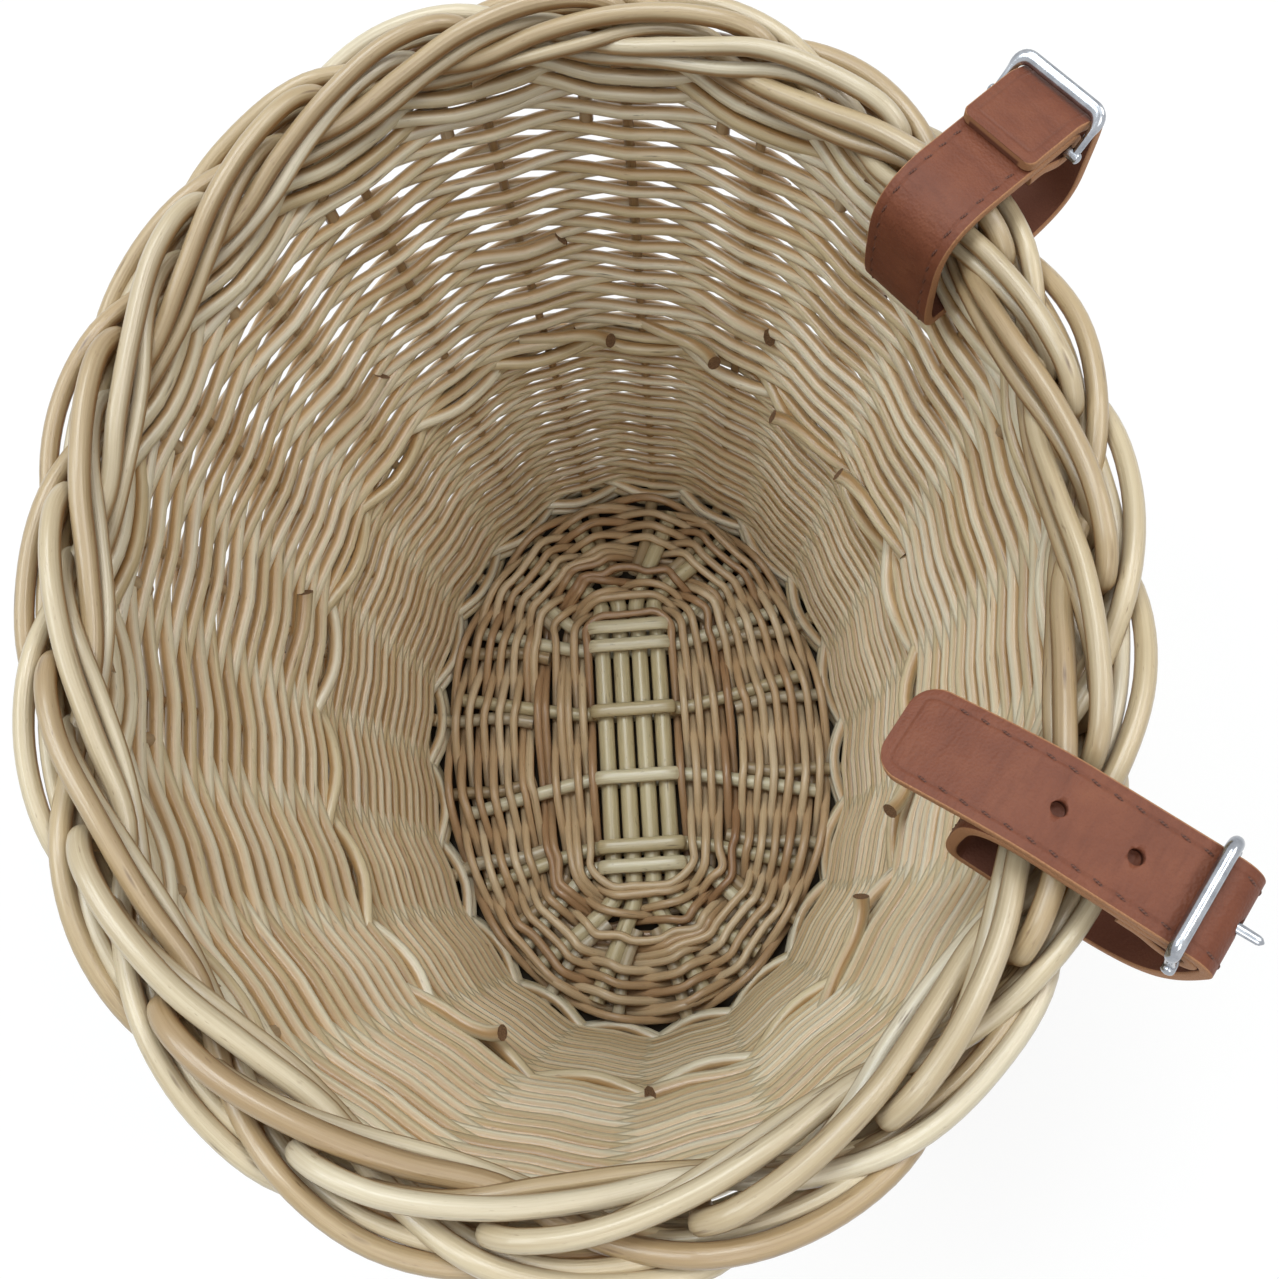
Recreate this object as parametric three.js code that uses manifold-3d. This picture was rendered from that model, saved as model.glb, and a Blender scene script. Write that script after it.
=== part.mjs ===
// Oval willow bicycle basket with two leather handlebar straps.
// Millimetres, +Z up. X runs across the basket, with the straps on the +X side, and Y along it.
// Outward and inward are measured square to the wall, in the horizontal plane.
import * as THREE from 'three';
import { mergeVertices } from 'three/addons/utils/BufferGeometryUtils.js';
import Module from 'manifold-3d';

const wasm = await Module();
wasm.setup();

// Wall, measured on the line through the side stakes
const baseHalfWidth = 78;
const baseHalfLength = 107;
const rimHalfWidth = 114.6;
const rimHalfLength = 141.6;
const rimHeight = 221;

// Rods and their fits
const stakeDiameter = 5.2;
const stakeTipDiameter = 3.6;
const stickDiameter = 7;
const lowerRodDiameter = 3.2;
const upperRodDiameter = 3.5;
const waleRodDiameter = 4.4;
const baseRodDiameter = 2.6;
const fit = 0.3;

// Bands of weave, from the foot up
const standOff = 0.8;
const footWaleHeight = 12;
const midWaleCentre = 100;
const midWaleHeight = 12;
const topWaleHeight = 10;

// Base: long sticks threaded through split cross sticks
const longStickCount = 4;
const crossStickPlaces = [13, 39, 46.5];
const stakeButtLength = 17;
const stickEndMargin = 11;
const stickSideStep = 8.6;
const splitThickness = 2.6;
const splitTaper = 5;

// Border: the way of each stake's end past its neighbours, as age in stake spacings and then outward
// and up in stake diameters. It goes over the top to the inside, under to the outside, and back inside.
const borderTurns = [
  [0, 0, 0.6],
  [0.15, -0.05, 1.35],
  [0.5, -0.4, 1.68],
  [1, -1.05, 1.45],
  [1.5, -1.53, 0.8],
  [2, -1.5, 0],
  [2.5, 0, -0.32],
  [3, 1.05, 0.48],
  [3.5, 1.6, 0.16],
  [4, 1.45, -0.56],
  [4.5, 0, -1.45],
  [5, -1.3, -1.3],
];

// Leather straps and their buckles. Reaches are measured outward from the wall line at the rim.
const rightStrapPlace = 0.39;
const rightStrapYaw = -12;
const leftStrapPlace = 0.45;
const leftStrapYaw = 10;
const strapWidth = 21.4;
const strapThickness = 2.6;
const strapTipRadius = 6;
const strapGap = 0.7;
const strapInsideSlack = 5;
const flapLength = 12;
const rightBarReach = 25.5;
const rightBuckleTilt = 109;
const rightProngTilt = 4;
const rightTailBend = 17.5;
const rightTailReach = -40;
const rightTailDrop = 9;
const rightHoleReach = 9.6;
const leftBarReach = 21;
const leftBuckleTilt = 45;
const leftProngTilt = -88;
const leftTipReach = 7;
const holeDiameter = 4;
const holeSpacing = 16;
const buckleLength = 10;
const buckleFrontWidth = 3.4;
const buckleSideWidth = 2;
const buckleThickness = 2.2;
const buckleBarDiameter = 2.6;
const prongWidth = 2.6;
const prongThickness = 1.4;

// Values that follow from the sizes above
const stakeCount = 2 * longStickCount + 4 * crossStickPlaces.length;
const stakeRadius = stakeDiameter / 2;
const baseRodThickness = 2 * baseRodDiameter;
const baseThickness = stickDiameter + baseRodThickness;
const stickHeight = standOff + baseThickness / 2;
const borderOutward = borderTurns.map(([, outward]) => outward * stakeDiameter);
const borderUp = borderTurns.map(([, , up]) => up * stakeDiameter);
const borderHalfWidth = Math.max(...borderOutward) + stakeRadius;
const borderTop = Math.max(...borderUp) + stakeRadius;
const borderFoot = Math.min(...borderUp) - stakeRadius;
const topWaleTop = rimHeight + borderFoot;
const topWaleFoot = topWaleTop - topWaleHeight;
const lowerHalf = stakeRadius + lowerRodDiameter;
const upperHalf = stakeRadius + upperRodDiameter;
const waleHalf = stakeRadius + waleRodDiameter;
const halfStrap = strapThickness / 2;
const foldRadius = buckleBarDiameter / 2 + fit + halfStrap;
const overBorder = borderTop + strapGap + halfStrap;
const barHeight = overBorder - foldRadius;
const wrapRadius = foldRadius + strapThickness + fit;
const slotHeight = strapThickness + 2 * fit;

const willow = new THREE.MeshStandardMaterial({ color: 0xd2b27c, roughness: 0.55, metalness: 0 });
const paleWillow = new THREE.MeshStandardMaterial({ color: 0xdcc394, roughness: 0.5, metalness: 0 });
const brownWillow = new THREE.MeshStandardMaterial({ color: 0xb38a58, roughness: 0.6, metalness: 0 });
const leather = new THREE.MeshStandardMaterial({ color: 0x96543a, roughness: 0.6, metalness: 0 });
const chrome = new THREE.MeshStandardMaterial({ color: 0xd4d7da, roughness: 0.18, metalness: 1 });

const upAxis = new THREE.Vector3(0, 0, 1);
const basket = new THREE.Group();

function addMesh(parent, name, geometry, material) {
  geometry.computeVertexNormals();
  const mesh = new THREE.Mesh(geometry, material);
  mesh.name = name;
  parent.add(mesh);
  return mesh;
}

// Solids for joining and cutting
function solidOf(geometry) {
  const bare = new THREE.BufferGeometry();
  bare.setAttribute('position', geometry.getAttribute('position').clone());
  bare.setIndex(geometry.index ? geometry.index.clone() : null);
  const merged = mergeVertices(bare, 1e-4);
  return new wasm.Manifold(new wasm.Mesh({
    numProp: 3,
    vertProperties: new Float32Array(merged.getAttribute('position').array),
    triVerts: new Uint32Array(merged.index.array),
  }));
}

function geometryOf(manifold) {
  const mesh = manifold.getMesh();
  const geometry = new THREE.BufferGeometry();
  geometry.setAttribute('position', new THREE.BufferAttribute(mesh.vertProperties, 3));
  geometry.setIndex(new THREE.BufferAttribute(mesh.triVerts, 1));
  return geometry;
}

function cut(geometry, cutters) {
  return geometryOf(cutters.reduce((rest, cutter) => rest.subtract(solidOf(cutter)), solidOf(geometry)));
}

// Skin over a row of rings, each listed counter-clockwise about the way the row runs.
// A closed row joins its last ring to its first, and an open one has flat ends.
function loft(rings, closed) {
  const sides = rings[0].length;
  const index = [];
  const spans = closed ? rings.length : rings.length - 1;
  for (let i = 0; i < spans; i++) {
    const here = i * sides;
    const next = ((i + 1) % rings.length) * sides;
    for (let j = 0; j < sides; j++) {
      const k = (j + 1) % sides;
      index.push(here + j, here + k, next + k);
      index.push(here + j, next + k, next + j);
    }
  }
  const last = (rings.length - 1) * sides;
  for (let j = 1; j < sides - 1 && !closed; j++) {
    index.push(0, j + 1, j);
    index.push(last, last + j, last + j + 1);
  }
  const geometry = new THREE.BufferGeometry().setFromPoints(rings.flat());
  geometry.setIndex(index);
  return geometry;
}

// Round rod through points that starts level, with its radius a function of the share of the way along.
// From the point numbered fineFrom to the one numbered fineTo, each span has a ring halfway.
function rod(points, fineFrom, fineTo, sides, radiusAt) {
  const curve = new THREE.CatmullRomCurve3(points, false, 'centripetal');
  const spans = points.length - 1;
  const side = upAxis.clone();
  const rings = [];
  for (let place = 0; place <= spans; place += place < fineFrom || place >= fineTo ? 1 : 0.5) {
    const share = place / spans;
    const centre = curve.getPoint(share);
    const along = curve.getTangent(share);
    side.addScaledVector(along, -side.dot(along)).normalize();
    const other = new THREE.Vector3().crossVectors(along, side);
    const ring = [];
    for (let j = 0; j < sides; j++) {
      const angle = (2 * Math.PI * j) / sides;
      const point = centre.clone();
      point.addScaledVector(side, radiusAt(share) * Math.cos(angle));
      point.addScaledVector(other, radiusAt(share) * Math.sin(angle));
      ring.push(point);
    }
    rings.push(ring);
  }
  return loft(rings, false);
}

// The wall's oval at a height, and places measured outward from it
function wallPoint(angle, height, outward = 0) {
  const share = height / rimHeight;
  const halfWidth = THREE.MathUtils.lerp(baseHalfWidth, rimHalfWidth, share);
  const halfLength = THREE.MathUtils.lerp(baseHalfLength, rimHalfLength, share);
  const point = new THREE.Vector3(halfWidth * Math.cos(angle), halfLength * Math.sin(angle), height);
  return point.addScaledVector(wallNormal(angle), outward);
}

function wallNormal(angle) {
  return new THREE.Vector3(Math.cos(angle) / rimHalfWidth, Math.sin(angle) / rimHalfLength, 0).normalize();
}

// Stakes stand at equal steps along the rim. Half numbers are halfway between two stakes.
const rimOval = new THREE.EllipseCurve(0, 0, rimHalfWidth, rimHalfLength);
rimOval.arcLengthDivisions = 2000;

function stakeAngle(stake) {
  const share = (stake + 0.5) / stakeCount;
  const turns = Math.floor(share);
  return 2 * Math.PI * (turns + rimOval.getUtoTmapping(share - turns));
}

// Side stakes. Each is pushed into the base beside a stick end, bends up through the wall, and at the
// rim is laid over into the border.
const bendRadius = 0.5 * stakeDiameter;
const sharpTurns = 6;

function stakeRoute(stake) {
  const angle = stakeAngle(stake);
  const corner = stickHeight + bendRadius;
  const points = [
    wallPoint(angle, stickHeight, -stakeButtLength),
    wallPoint(angle, stickHeight, -bendRadius),
    wallPoint(angle, corner),
    wallPoint(angle, (corner + footWaleHeight) / 2),
    wallPoint(angle, topWaleTop + 3 * fit),
    wallPoint(angle, rimHeight),
  ];
  for (const [age, outward, up] of borderTurns) {
    const place = wallPoint(stakeAngle(stake + age), rimHeight, outward * stakeDiameter);
    points.push(place.setZ(rimHeight + up * stakeDiameter));
  }
  return points;
}

function stakeRod(stake, clearance) {
  const route = stakeRoute(stake);
  const rimShare = 1 - borderTurns.length / (route.length - 1);
  const taper = (share) => Math.max(0, (share - rimShare) / (1 - rimShare));
  const radiusAt = (share) => THREE.MathUtils.lerp(stakeRadius, stakeTipDiameter / 2, taper(share)) + clearance;
  const knuckle = route.length - borderTurns.length + 1;
  return rod(route, knuckle, knuckle + sharpTurns, 5, radiusAt);
}

const stakeClearances = [];
for (let stake = 0; stake < stakeCount; stake++) {
  stakeClearances.push(stakeRod(stake, fit));
  addMesh(basket, `side_stake_${String(stake + 1).padStart(2, '0')}`, stakeRod(stake, 0), paleWillow);
}

// Bands of weave. A band is a ring whose section is full at each stake, where rods pass on both sides,
// and slimmer halfway between stakes, where they cross over.
const crossoverShare = 0.62;

function band(section) {
  const rings = [];
  for (let place = 0; place < 2 * stakeCount; place++) {
    const angle = stakeAngle(place / 2);
    const share = place % 2 === 0 ? 1 : crossoverShare;
    rings.push(section.map(([outward, height]) => wallPoint(angle, height, outward * share)));
  }
  return loft(rings, true);
}

function bulgedSection(half, foot, top) {
  const middle = (foot + top) / 2;
  const edge = half - waleRodDiameter / 2;
  return [[-edge, top], [edge, top], [half, middle], [edge, foot], [-edge, foot], [-half, middle]];
}

function plainSection(half, foot, top) {
  return [[-half, top], [half, top], [half, foot], [-half, foot]];
}

// Strap frames: local X outward, Y along the rim, Z up, with the origin on the wall line at the rim
function strapGroup(angle, yaw) {
  const normal = wallNormal(angle);
  const group = new THREE.Group();
  group.position.copy(wallPoint(angle, rimHeight));
  group.rotation.z = Math.atan2(normal.y, normal.x) + THREE.MathUtils.degToRad(yaw);
  group.updateMatrixWorld();
  return group;
}

// Each strap goes through the wall between the second and third stakes from the middle of its side
const rightStrap = strapGroup(-stakeAngle(1 + rightStrapPlace), rightStrapYaw);
const leftStrap = strapGroup(stakeAngle(1 + leftStrapPlace), leftStrapYaw);
basket.add(rightStrap, leftStrap);

// The straps pass the wall just under the top wale, in a notch of the upper weave
const slotCentre = topWaleFoot - fit - slotHeight / 2 - rimHeight;
const slotAngle = stakeAngle(1 + leftStrapPlace);
const slotOutward = wallPoint(slotAngle, rimHeight + slotCentre)
  .sub(wallPoint(slotAngle, rimHeight))
  .dot(wallNormal(slotAngle));

function strapNotch(group) {
  const notch = new THREE.BoxGeometry(6 * upperHalf, strapWidth + 4 * fit, 2 * slotHeight);
  notch.translate(slotOutward, 0, slotCentre + slotHeight / 2);
  return notch.applyMatrix4(group.matrixWorld);
}

const midWaleFoot = midWaleCentre - midWaleHeight / 2;
const midWaleTop = midWaleCentre + midWaleHeight / 2;
const footHalf = waleHalf;
const footEdge = footHalf - waleRodDiameter / 2;
const footSection = [
  [-footEdge, footWaleHeight],
  [footEdge, footWaleHeight],
  [footHalf, footWaleHeight / 2],
  [footEdge, 0],
  [-footEdge, 0],
];
const lowerWeave = band(plainSection(lowerHalf, footWaleHeight + fit, midWaleFoot - fit));
const upperWeave = band(plainSection(upperHalf, midWaleTop + fit, topWaleFoot - fit));
const notches = [strapNotch(rightStrap), strapNotch(leftStrap)];
addMesh(basket, 'foot_wale', cut(band(footSection), stakeClearances), willow);
addMesh(basket, 'lower_weave', cut(lowerWeave, stakeClearances), willow);
addMesh(basket, 'mid_wale', cut(band(bulgedSection(waleHalf, midWaleFoot, midWaleTop)), stakeClearances), willow);
addMesh(basket, 'upper_weave', cut(upperWeave, [...stakeClearances, ...notches]), willow);
addMesh(basket, 'top_wale', cut(band(bulgedSection(waleHalf, topWaleFoot, topWaleTop)), stakeClearances), willow);

// Base sticks. The long sticks lie side by side and run through a split in every cross stick.
const stickRadius = stickDiameter / 2;
const stickPitch = stickDiameter + fit;
const slathHalf = (longStickCount * stickPitch) / 2;
const splitHalf = slathHalf + fit;
const splitHeight = stickRadius + fit + splitThickness;
const lensReach = splitHalf + splitTaper;
const windowHalfWidth = lensReach + fit;
const windowHalfLength = crossStickPlaces.at(-1) + stickRadius + fit;

// A stick ends inside the base's edge, one step beside the foot of its stake
function stickEnd(stake, turn) {
  const angle = stakeAngle(stake);
  const sideways = wallNormal(angle).applyAxisAngle(upAxis, Math.PI / 2);
  const end = wallPoint(angle, stickHeight, -stickEndMargin);
  return end.addScaledVector(sideways, turn * stickSideStep);
}

function stickRoute(from, to) {
  return [from.end, from.bend, from.inner, to.inner, to.bend, to.end];
}

function longStickRoute(stick) {
  const x = (stick - (longStickCount - 1) / 2) * stickPitch;
  const half = (sign) => {
    const fromMiddle = sign * (stick - (longStickCount - 1) / 2);
    const stake = stakeCount / 2 - sign * stakeCount / 4 - 0.5 - fromMiddle;
    const end = stickEnd(stake, x > 0 ? -sign : sign);
    const inner = new THREE.Vector3(x, sign * windowHalfLength, stickHeight);
    const bend = inner.clone().add(new THREE.Vector3(0, sign * stickDiameter, 0));
    return { end, bend, inner };
  };
  return stickRoute(half(-1), half(1));
}

function crossStickRoute(place, sign) {
  const y = sign * crossStickPlaces[place];
  const half = (side) => {
    const step = sign > 0 ? place : -1 - place;
    const stake = side > 0 ? step : stakeCount / 2 - 1 - step;
    const end = stickEnd(stake, sign * side);
    const inner = new THREE.Vector3(side * lensReach, y, stickHeight);
    const bend = inner.clone().add(new THREE.Vector3(side * stickRadius, 0, 0));
    return { end, bend, inner };
  };
  return stickRoute(half(-1), half(1));
}

function stickRod(route, clearance) {
  return rod(route, 0, 0, 6, () => stickRadius + clearance);
}

// Lens round the split of a cross stick, with the opening that the long sticks pass through
function splitLens(y) {
  const waist = stickRadius - fit;
  const side = new THREE.Shape();
  side.moveTo(-lensReach, -waist);
  side.lineTo(-splitHalf, -splitHeight);
  side.lineTo(splitHalf, -splitHeight);
  side.lineTo(lensReach, -waist);
  side.lineTo(lensReach, waist);
  side.lineTo(splitHalf, splitHeight);
  side.lineTo(-splitHalf, splitHeight);
  side.lineTo(-lensReach, waist);
  const opening = new THREE.Path();
  const openHalf = stickRadius + fit;
  opening.moveTo(-splitHalf, -openHalf);
  opening.lineTo(-splitHalf, openHalf);
  opening.lineTo(splitHalf, openHalf);
  opening.lineTo(splitHalf, -openHalf);
  side.holes.push(opening);
  const depth = stickDiameter - 2 * fit;
  const lens = new THREE.ExtrudeGeometry(side, { depth, bevelEnabled: false });
  lens.rotateX(Math.PI / 2);
  return lens.translate(0, y + depth / 2, stickHeight);
}

const baseClearances = [...stakeClearances];
for (let stick = 0; stick < longStickCount; stick++) {
  const route = longStickRoute(stick);
  baseClearances.push(stickRod(route, fit));
  addMesh(basket, `base_long_stick_${stick + 1}`, stickRod(route, 0), paleWillow);
}
let crossStick = 0;
for (const sign of [-1, 1]) {
  for (let place = 0; place < crossStickPlaces.length; place++) {
    const route = crossStickRoute(place, sign);
    const y = sign * crossStickPlaces[place];
    const opening = new THREE.BoxGeometry(2 * splitHalf, 2 * stickDiameter, stickDiameter + 2 * fit);
    opening.translate(0, y, stickHeight);
    const whole = solidOf(stickRod(route, 0)).add(solidOf(splitLens(y))).subtract(solidOf(opening));
    crossStick += 1;
    baseClearances.push(stickRod(route, fit));
    addMesh(basket, `base_cross_stick_${crossStick}`, geometryOf(whole), paleWillow);
  }
}

// Base weave: an oval plate round the open middle, where the sticks show
function baseWeave() {
  const oval = new THREE.Shape();
  for (let place = 0; place < 2 * stakeCount; place++) {
    const point = wallPoint(stakeAngle(place / 2), 0, -footEdge - fit);
    oval[place ? 'lineTo' : 'moveTo'](point.x, point.y);
  }
  const opening = new THREE.Path();
  opening.moveTo(-windowHalfWidth, -windowHalfLength);
  opening.lineTo(-windowHalfWidth, windowHalfLength);
  opening.lineTo(windowHalfWidth, windowHalfLength);
  opening.lineTo(windowHalfWidth, -windowHalfLength);
  oval.holes.push(opening);
  const plate = new THREE.ExtrudeGeometry(oval, { depth: baseThickness, bevelEnabled: false });
  return plate.translate(0, 0, standOff);
}
addMesh(basket, 'base_weave', cut(baseWeave(), baseClearances), brownWillow);

// Flat leather along a side view path, its face square to the path. The shape functions give the
// share of the full width and thickness at a distance from the start and from the end.
const ringsPerBend = 6;

function leatherStrip(path, extraPlaces, widthAt, thicknessAt) {
  const length = path.getLength();
  const ends = path.getCurveLengths();
  const places = [0, ...extraPlaces.map((place) => (place < 0 ? length + place : place))];
  path.curves.forEach((curve, i) => {
    const rings = curve.isLineCurve ? 1 : ringsPerBend;
    for (let ring = 1; ring <= rings; ring++) {
      places.push(THREE.MathUtils.lerp(i ? ends[i - 1] : 0, ends[i], ring / rings));
    }
  });
  places.sort((a, b) => a - b);
  const kept = places.filter((place, i) => i === 0 || place - places[i - 1] > fit / 4);
  const rings = kept.map((place) => {
    const share = Math.min(1, place / length);
    const centre = path.getPointAt(share);
    const along = path.getTangentAt(share);
    const halfWidth = (strapWidth / 2) * widthAt(place, length - place);
    const thick = halfStrap * thicknessAt(place, length - place);
    const corner = (across, out) => new THREE.Vector3(
      centre.x - along.y * thick * out,
      halfWidth * across,
      centre.y + along.x * thick * out,
    );
    return [corner(-1, -1), corner(1, -1), corner(1, 1), corner(-1, 1)];
  });
  return loft(rings, false);
}

const full = () => 1;
const roundEnd = (radius, distance) => {
  const rest = THREE.MathUtils.clamp((radius - distance) / radius, 0, 1);
  return Math.max(0.08, Math.sqrt(1 - rest * rest));
};
const roundCorners = (distance) => {
  const rest = THREE.MathUtils.clamp(strapTipRadius - distance, 0, strapTipRadius);
  const inset = strapTipRadius - Math.sqrt(strapTipRadius ** 2 - rest ** 2);
  return 1 - (2 * inset) / strapWidth;
};
const tipPlaces = [0.034, 0.134, 0.293, 0.5, 0.741].map((share) => -share * strapTipRadius);

// Folded end: the flap lies under the strap and turns up round the buckle's bar
function foldedEnd(path, barReach) {
  const flapHeight = overBorder - strapThickness - fit;
  const foldFoot = barHeight - foldRadius;
  path.moveTo(barReach - flapLength, flapHeight);
  path.lineTo(barReach - 0.75 * flapLength, flapHeight);
  path.bezierCurveTo(
    barReach - 0.45 * flapLength, flapHeight,
    barReach - 0.3 * flapLength, foldFoot,
    barReach, foldFoot,
  );
  path.absarc(barReach, barHeight, foldRadius, -Math.PI / 2, Math.PI / 2, false);
}

// From the buckle over the border, down inside the basket and out through the wall
const insideReach = -(borderHalfWidth + strapGap + halfStrap + strapInsideSlack);
const slotInner = slotOutward - waleHalf - strapThickness;
const slotOuter = slotOutward + waleHalf + strapThickness;

function overAndThrough(path) {
  path.lineTo(0.2 * insideReach, overBorder);
  path.bezierCurveTo(0.7 * insideReach, overBorder, insideReach, 0.75 * overBorder, insideReach, 0);
  path.bezierCurveTo(insideReach, 0.85 * slotCentre, 1.25 * slotInner, slotCentre, slotInner, slotCentre);
  path.lineTo(slotOuter, slotCentre);
}

// Slot in the fold for the prong's eye
function prongSlot(barReach) {
  const radius = foldRadius + halfStrap + fit / 2;
  return new THREE.CylinderGeometry(radius, radius, prongWidth + 4 * fit, 16).translate(barReach, 0, barHeight);
}

// Right strap: it comes up outside, turns in over the fold and goes under the front of the buckle, which
// is tipped inward. The prong sticks out through a hole.
const wrapTop = barHeight + wrapRadius;

function rightLoopPath() {
  const path = new THREE.Path();
  foldedEnd(path, rightBarReach);
  overAndThrough(path);
  const outside = rightBarReach + wrapRadius;
  path.bezierCurveTo(0.9 * outside, slotCentre, outside, 0.7 * slotCentre, outside, barHeight);
  path.absarc(rightBarReach, barHeight, wrapRadius, 0, Math.PI / 2, false);
  path.lineTo(rightTailBend + halfStrap + fit, wrapTop);
  return path;
}

function prongHole() {
  const eyeRadius = buckleBarDiameter / 2 + fit;
  const hole = new THREE.CylinderGeometry(holeDiameter / 2, holeDiameter / 2, 2 * wrapRadius, 8);
  hole.rotateZ(Math.PI / 2).translate(eyeRadius + wrapRadius, 0, eyeRadius + prongThickness / 2);
  hole.rotateY(-THREE.MathUtils.degToRad(rightProngTilt));
  return hole.translate(rightBarReach, 0, barHeight);
}
const rightLoop = leatherStrip(rightLoopPath(), [], full, full);
addMesh(rightStrap, 'right_strap_loop', cut(rightLoop, [prongSlot(rightBarReach), prongHole()]), leather);

// The tail's own group stands on its bend line, where it can be lifted
const rightTail = new THREE.Group();
rightTail.name = 'right_tail_bend';
rightTail.position.set(rightTailBend, 0, wrapTop);
rightStrap.add(rightTail);

function tailPath() {
  const path = new THREE.Path();
  const level = 0.2 * insideReach - rightTailBend;
  const tip = rightTailReach - rightTailBend;
  path.moveTo(halfStrap, 0);
  path.lineTo(level, 0);
  path.bezierCurveTo(0.7 * level + 0.3 * tip, 0, 0.4 * level + 0.6 * tip, -0.5 * rightTailDrop, tip, -rightTailDrop);
  return path;
}

function punchedHole(place) {
  const punch = new THREE.CylinderGeometry(holeDiameter / 2, holeDiameter / 2, 8 * strapThickness, 8);
  return punch.rotateX(Math.PI / 2).translate(place, 0, 0);
}
const firstHole = rightHoleReach - rightTailBend;
const tailStrip = leatherStrip(
  tailPath(),
  [0.15 * halfStrap, 0.5 * halfStrap, halfStrap, ...tipPlaces],
  (start, end) => roundCorners(end),
  (start) => roundEnd(halfStrap, start),
);
const holes = [punchedHole(firstHole), punchedHole(firstHole - holeSpacing)];
addMesh(rightTail, 'right_strap_tail', cut(tailStrip, holes), leather);

// Left strap: it comes up outside, goes under the buckle's front, and its short end lies over the fold.
// The line under the front just clears the inner edge of the front bar.
const frontEdge = new THREE.Vector2(buckleLength - buckleFrontWidth / 2, -buckleThickness / 2);
const edgeClearance = wrapRadius + halfStrap + fit;
const wrapTurn = frontEdge.angle() + Math.acos(edgeClearance / frontEdge.length());
const wrapStart = wrapTurn + THREE.MathUtils.degToRad(leftBuckleTilt) - 2 * Math.PI;
const leftBar = new THREE.Vector2(leftBarReach, barHeight);
const wrapOutward = new THREE.Vector2(Math.cos(wrapStart), Math.sin(wrapStart));
const wrapDown = new THREE.Vector2(Math.sin(wrapStart), -Math.cos(wrapStart));
const overFold = leftBar.clone().addScaledVector(wrapOutward, wrapRadius);
const underFront = overFold.clone().addScaledVector(wrapDown, 0.7 * buckleLength);

function leftLoopPath() {
  const path = new THREE.Path();
  foldedEnd(path, leftBarReach);
  overAndThrough(path);
  const outside = underFront.x + strapThickness;
  const rising = underFront.clone().addScaledVector(wrapDown, 0.4 * buckleLength);
  path.bezierCurveTo(0.9 * outside, slotCentre, outside, 0.8 * slotCentre, outside, 0.3 * slotCentre);
  path.bezierCurveTo(outside, 0.1 * overBorder, rising.x, rising.y, underFront.x, underFront.y);
  path.lineTo(overFold.x, overFold.y);
  path.absarc(leftBarReach, barHeight, wrapRadius, wrapStart, Math.PI / 2, false);
  path.lineTo(leftTipReach, wrapTop);
  return path;
}
const leftLoop = leatherStrip(leftLoopPath(), tipPlaces, (start, end) => roundCorners(end), full);
addMesh(leftStrap, 'left_strap', cut(leftLoop, [prongSlot(leftBarReach)]), leather);

// Buckle frame: a flat bow closed by the round bar in the fold. Local X points from the bar to the front.
function buckleFrame() {
  const halfInner = strapWidth / 2 + 2 * fit;
  const half = halfInner + buckleSideWidth;
  const front = buckleLength + buckleFrontWidth / 2;
  const rear = -buckleBarDiameter / 2;
  const corner = 1.5 * buckleSideWidth;
  const inside = front - buckleFrontWidth;
  const bow = new THREE.Shape();
  bow.moveTo(rear, -half);
  bow.lineTo(front - corner, -half);
  bow.quadraticCurveTo(front, -half, front, corner - half);
  bow.lineTo(front, half - corner);
  bow.quadraticCurveTo(front, half, front - corner, half);
  bow.lineTo(rear, half);
  bow.lineTo(rear, halfInner);
  bow.lineTo(inside, halfInner);
  bow.lineTo(inside, -halfInner);
  bow.lineTo(rear, -halfInner);
  const plate = new THREE.ExtrudeGeometry(bow, { depth: buckleThickness, bevelEnabled: false, curveSegments: 4 });
  plate.translate(0, 0, -buckleThickness / 2);
  const barRadius = buckleBarDiameter / 2;
  const bar = new THREE.CylinderGeometry(barRadius, barRadius, 2 * halfInner + buckleSideWidth, 10);
  return geometryOf(solidOf(plate).add(solidOf(bar)));
}

// Prong: an eye round the bar and a tongue that reaches onto the front of the frame
function buckleProng() {
  const inner = buckleBarDiameter / 2 + fit;
  const outer = inner + prongThickness;
  const half = prongWidth / 2;
  const section = [[inner, -half], [outer, -half], [outer, half], [inner, half], [inner, -half]];
  const eye = new THREE.LatheGeometry(section.map(([x, y]) => new THREE.Vector2(x, y)), 12);
  const rest = buckleThickness / 2 + fit;
  const tip = buckleLength + buckleFrontWidth / 2;
  const tongue = new THREE.Shape();
  tongue.moveTo(0, inner + fit);
  tongue.lineTo(0.5 * tip, rest + 0.2 * prongThickness);
  tongue.lineTo(tip, rest);
  tongue.lineTo(tip, rest + 0.5 * prongThickness);
  tongue.lineTo(0.9 * tip, rest + prongThickness);
  tongue.lineTo(0.4 * tip, outer);
  tongue.lineTo(0, outer);
  const blade = new THREE.ExtrudeGeometry(tongue, { depth: prongWidth, bevelEnabled: false });
  blade.rotateX(Math.PI / 2).translate(0, half, 0);
  return geometryOf(solidOf(eye).add(solidOf(blade)));
}

function addBuckle(parent, side, barReach, frameTilt, prongTilt) {
  const pieces = [
    ['frame', frameTilt, buckleFrame()],
    ['prong', prongTilt, buckleProng()],
  ];
  for (const [piece, angle, geometry] of pieces) {
    const group = new THREE.Group();
    group.name = `${side}_${piece}_bar`;
    group.position.set(barReach, 0, barHeight);
    group.rotation.y = -THREE.MathUtils.degToRad(angle);
    parent.add(group);
    addMesh(group, `${side}_buckle_${piece}`, geometry, chrome);
  }
}
addBuckle(rightStrap, 'right', rightBarReach, rightBuckleTilt, rightProngTilt);
addBuckle(leftStrap, 'left', leftBarReach, leftBuckleTilt, leftProngTilt);

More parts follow.
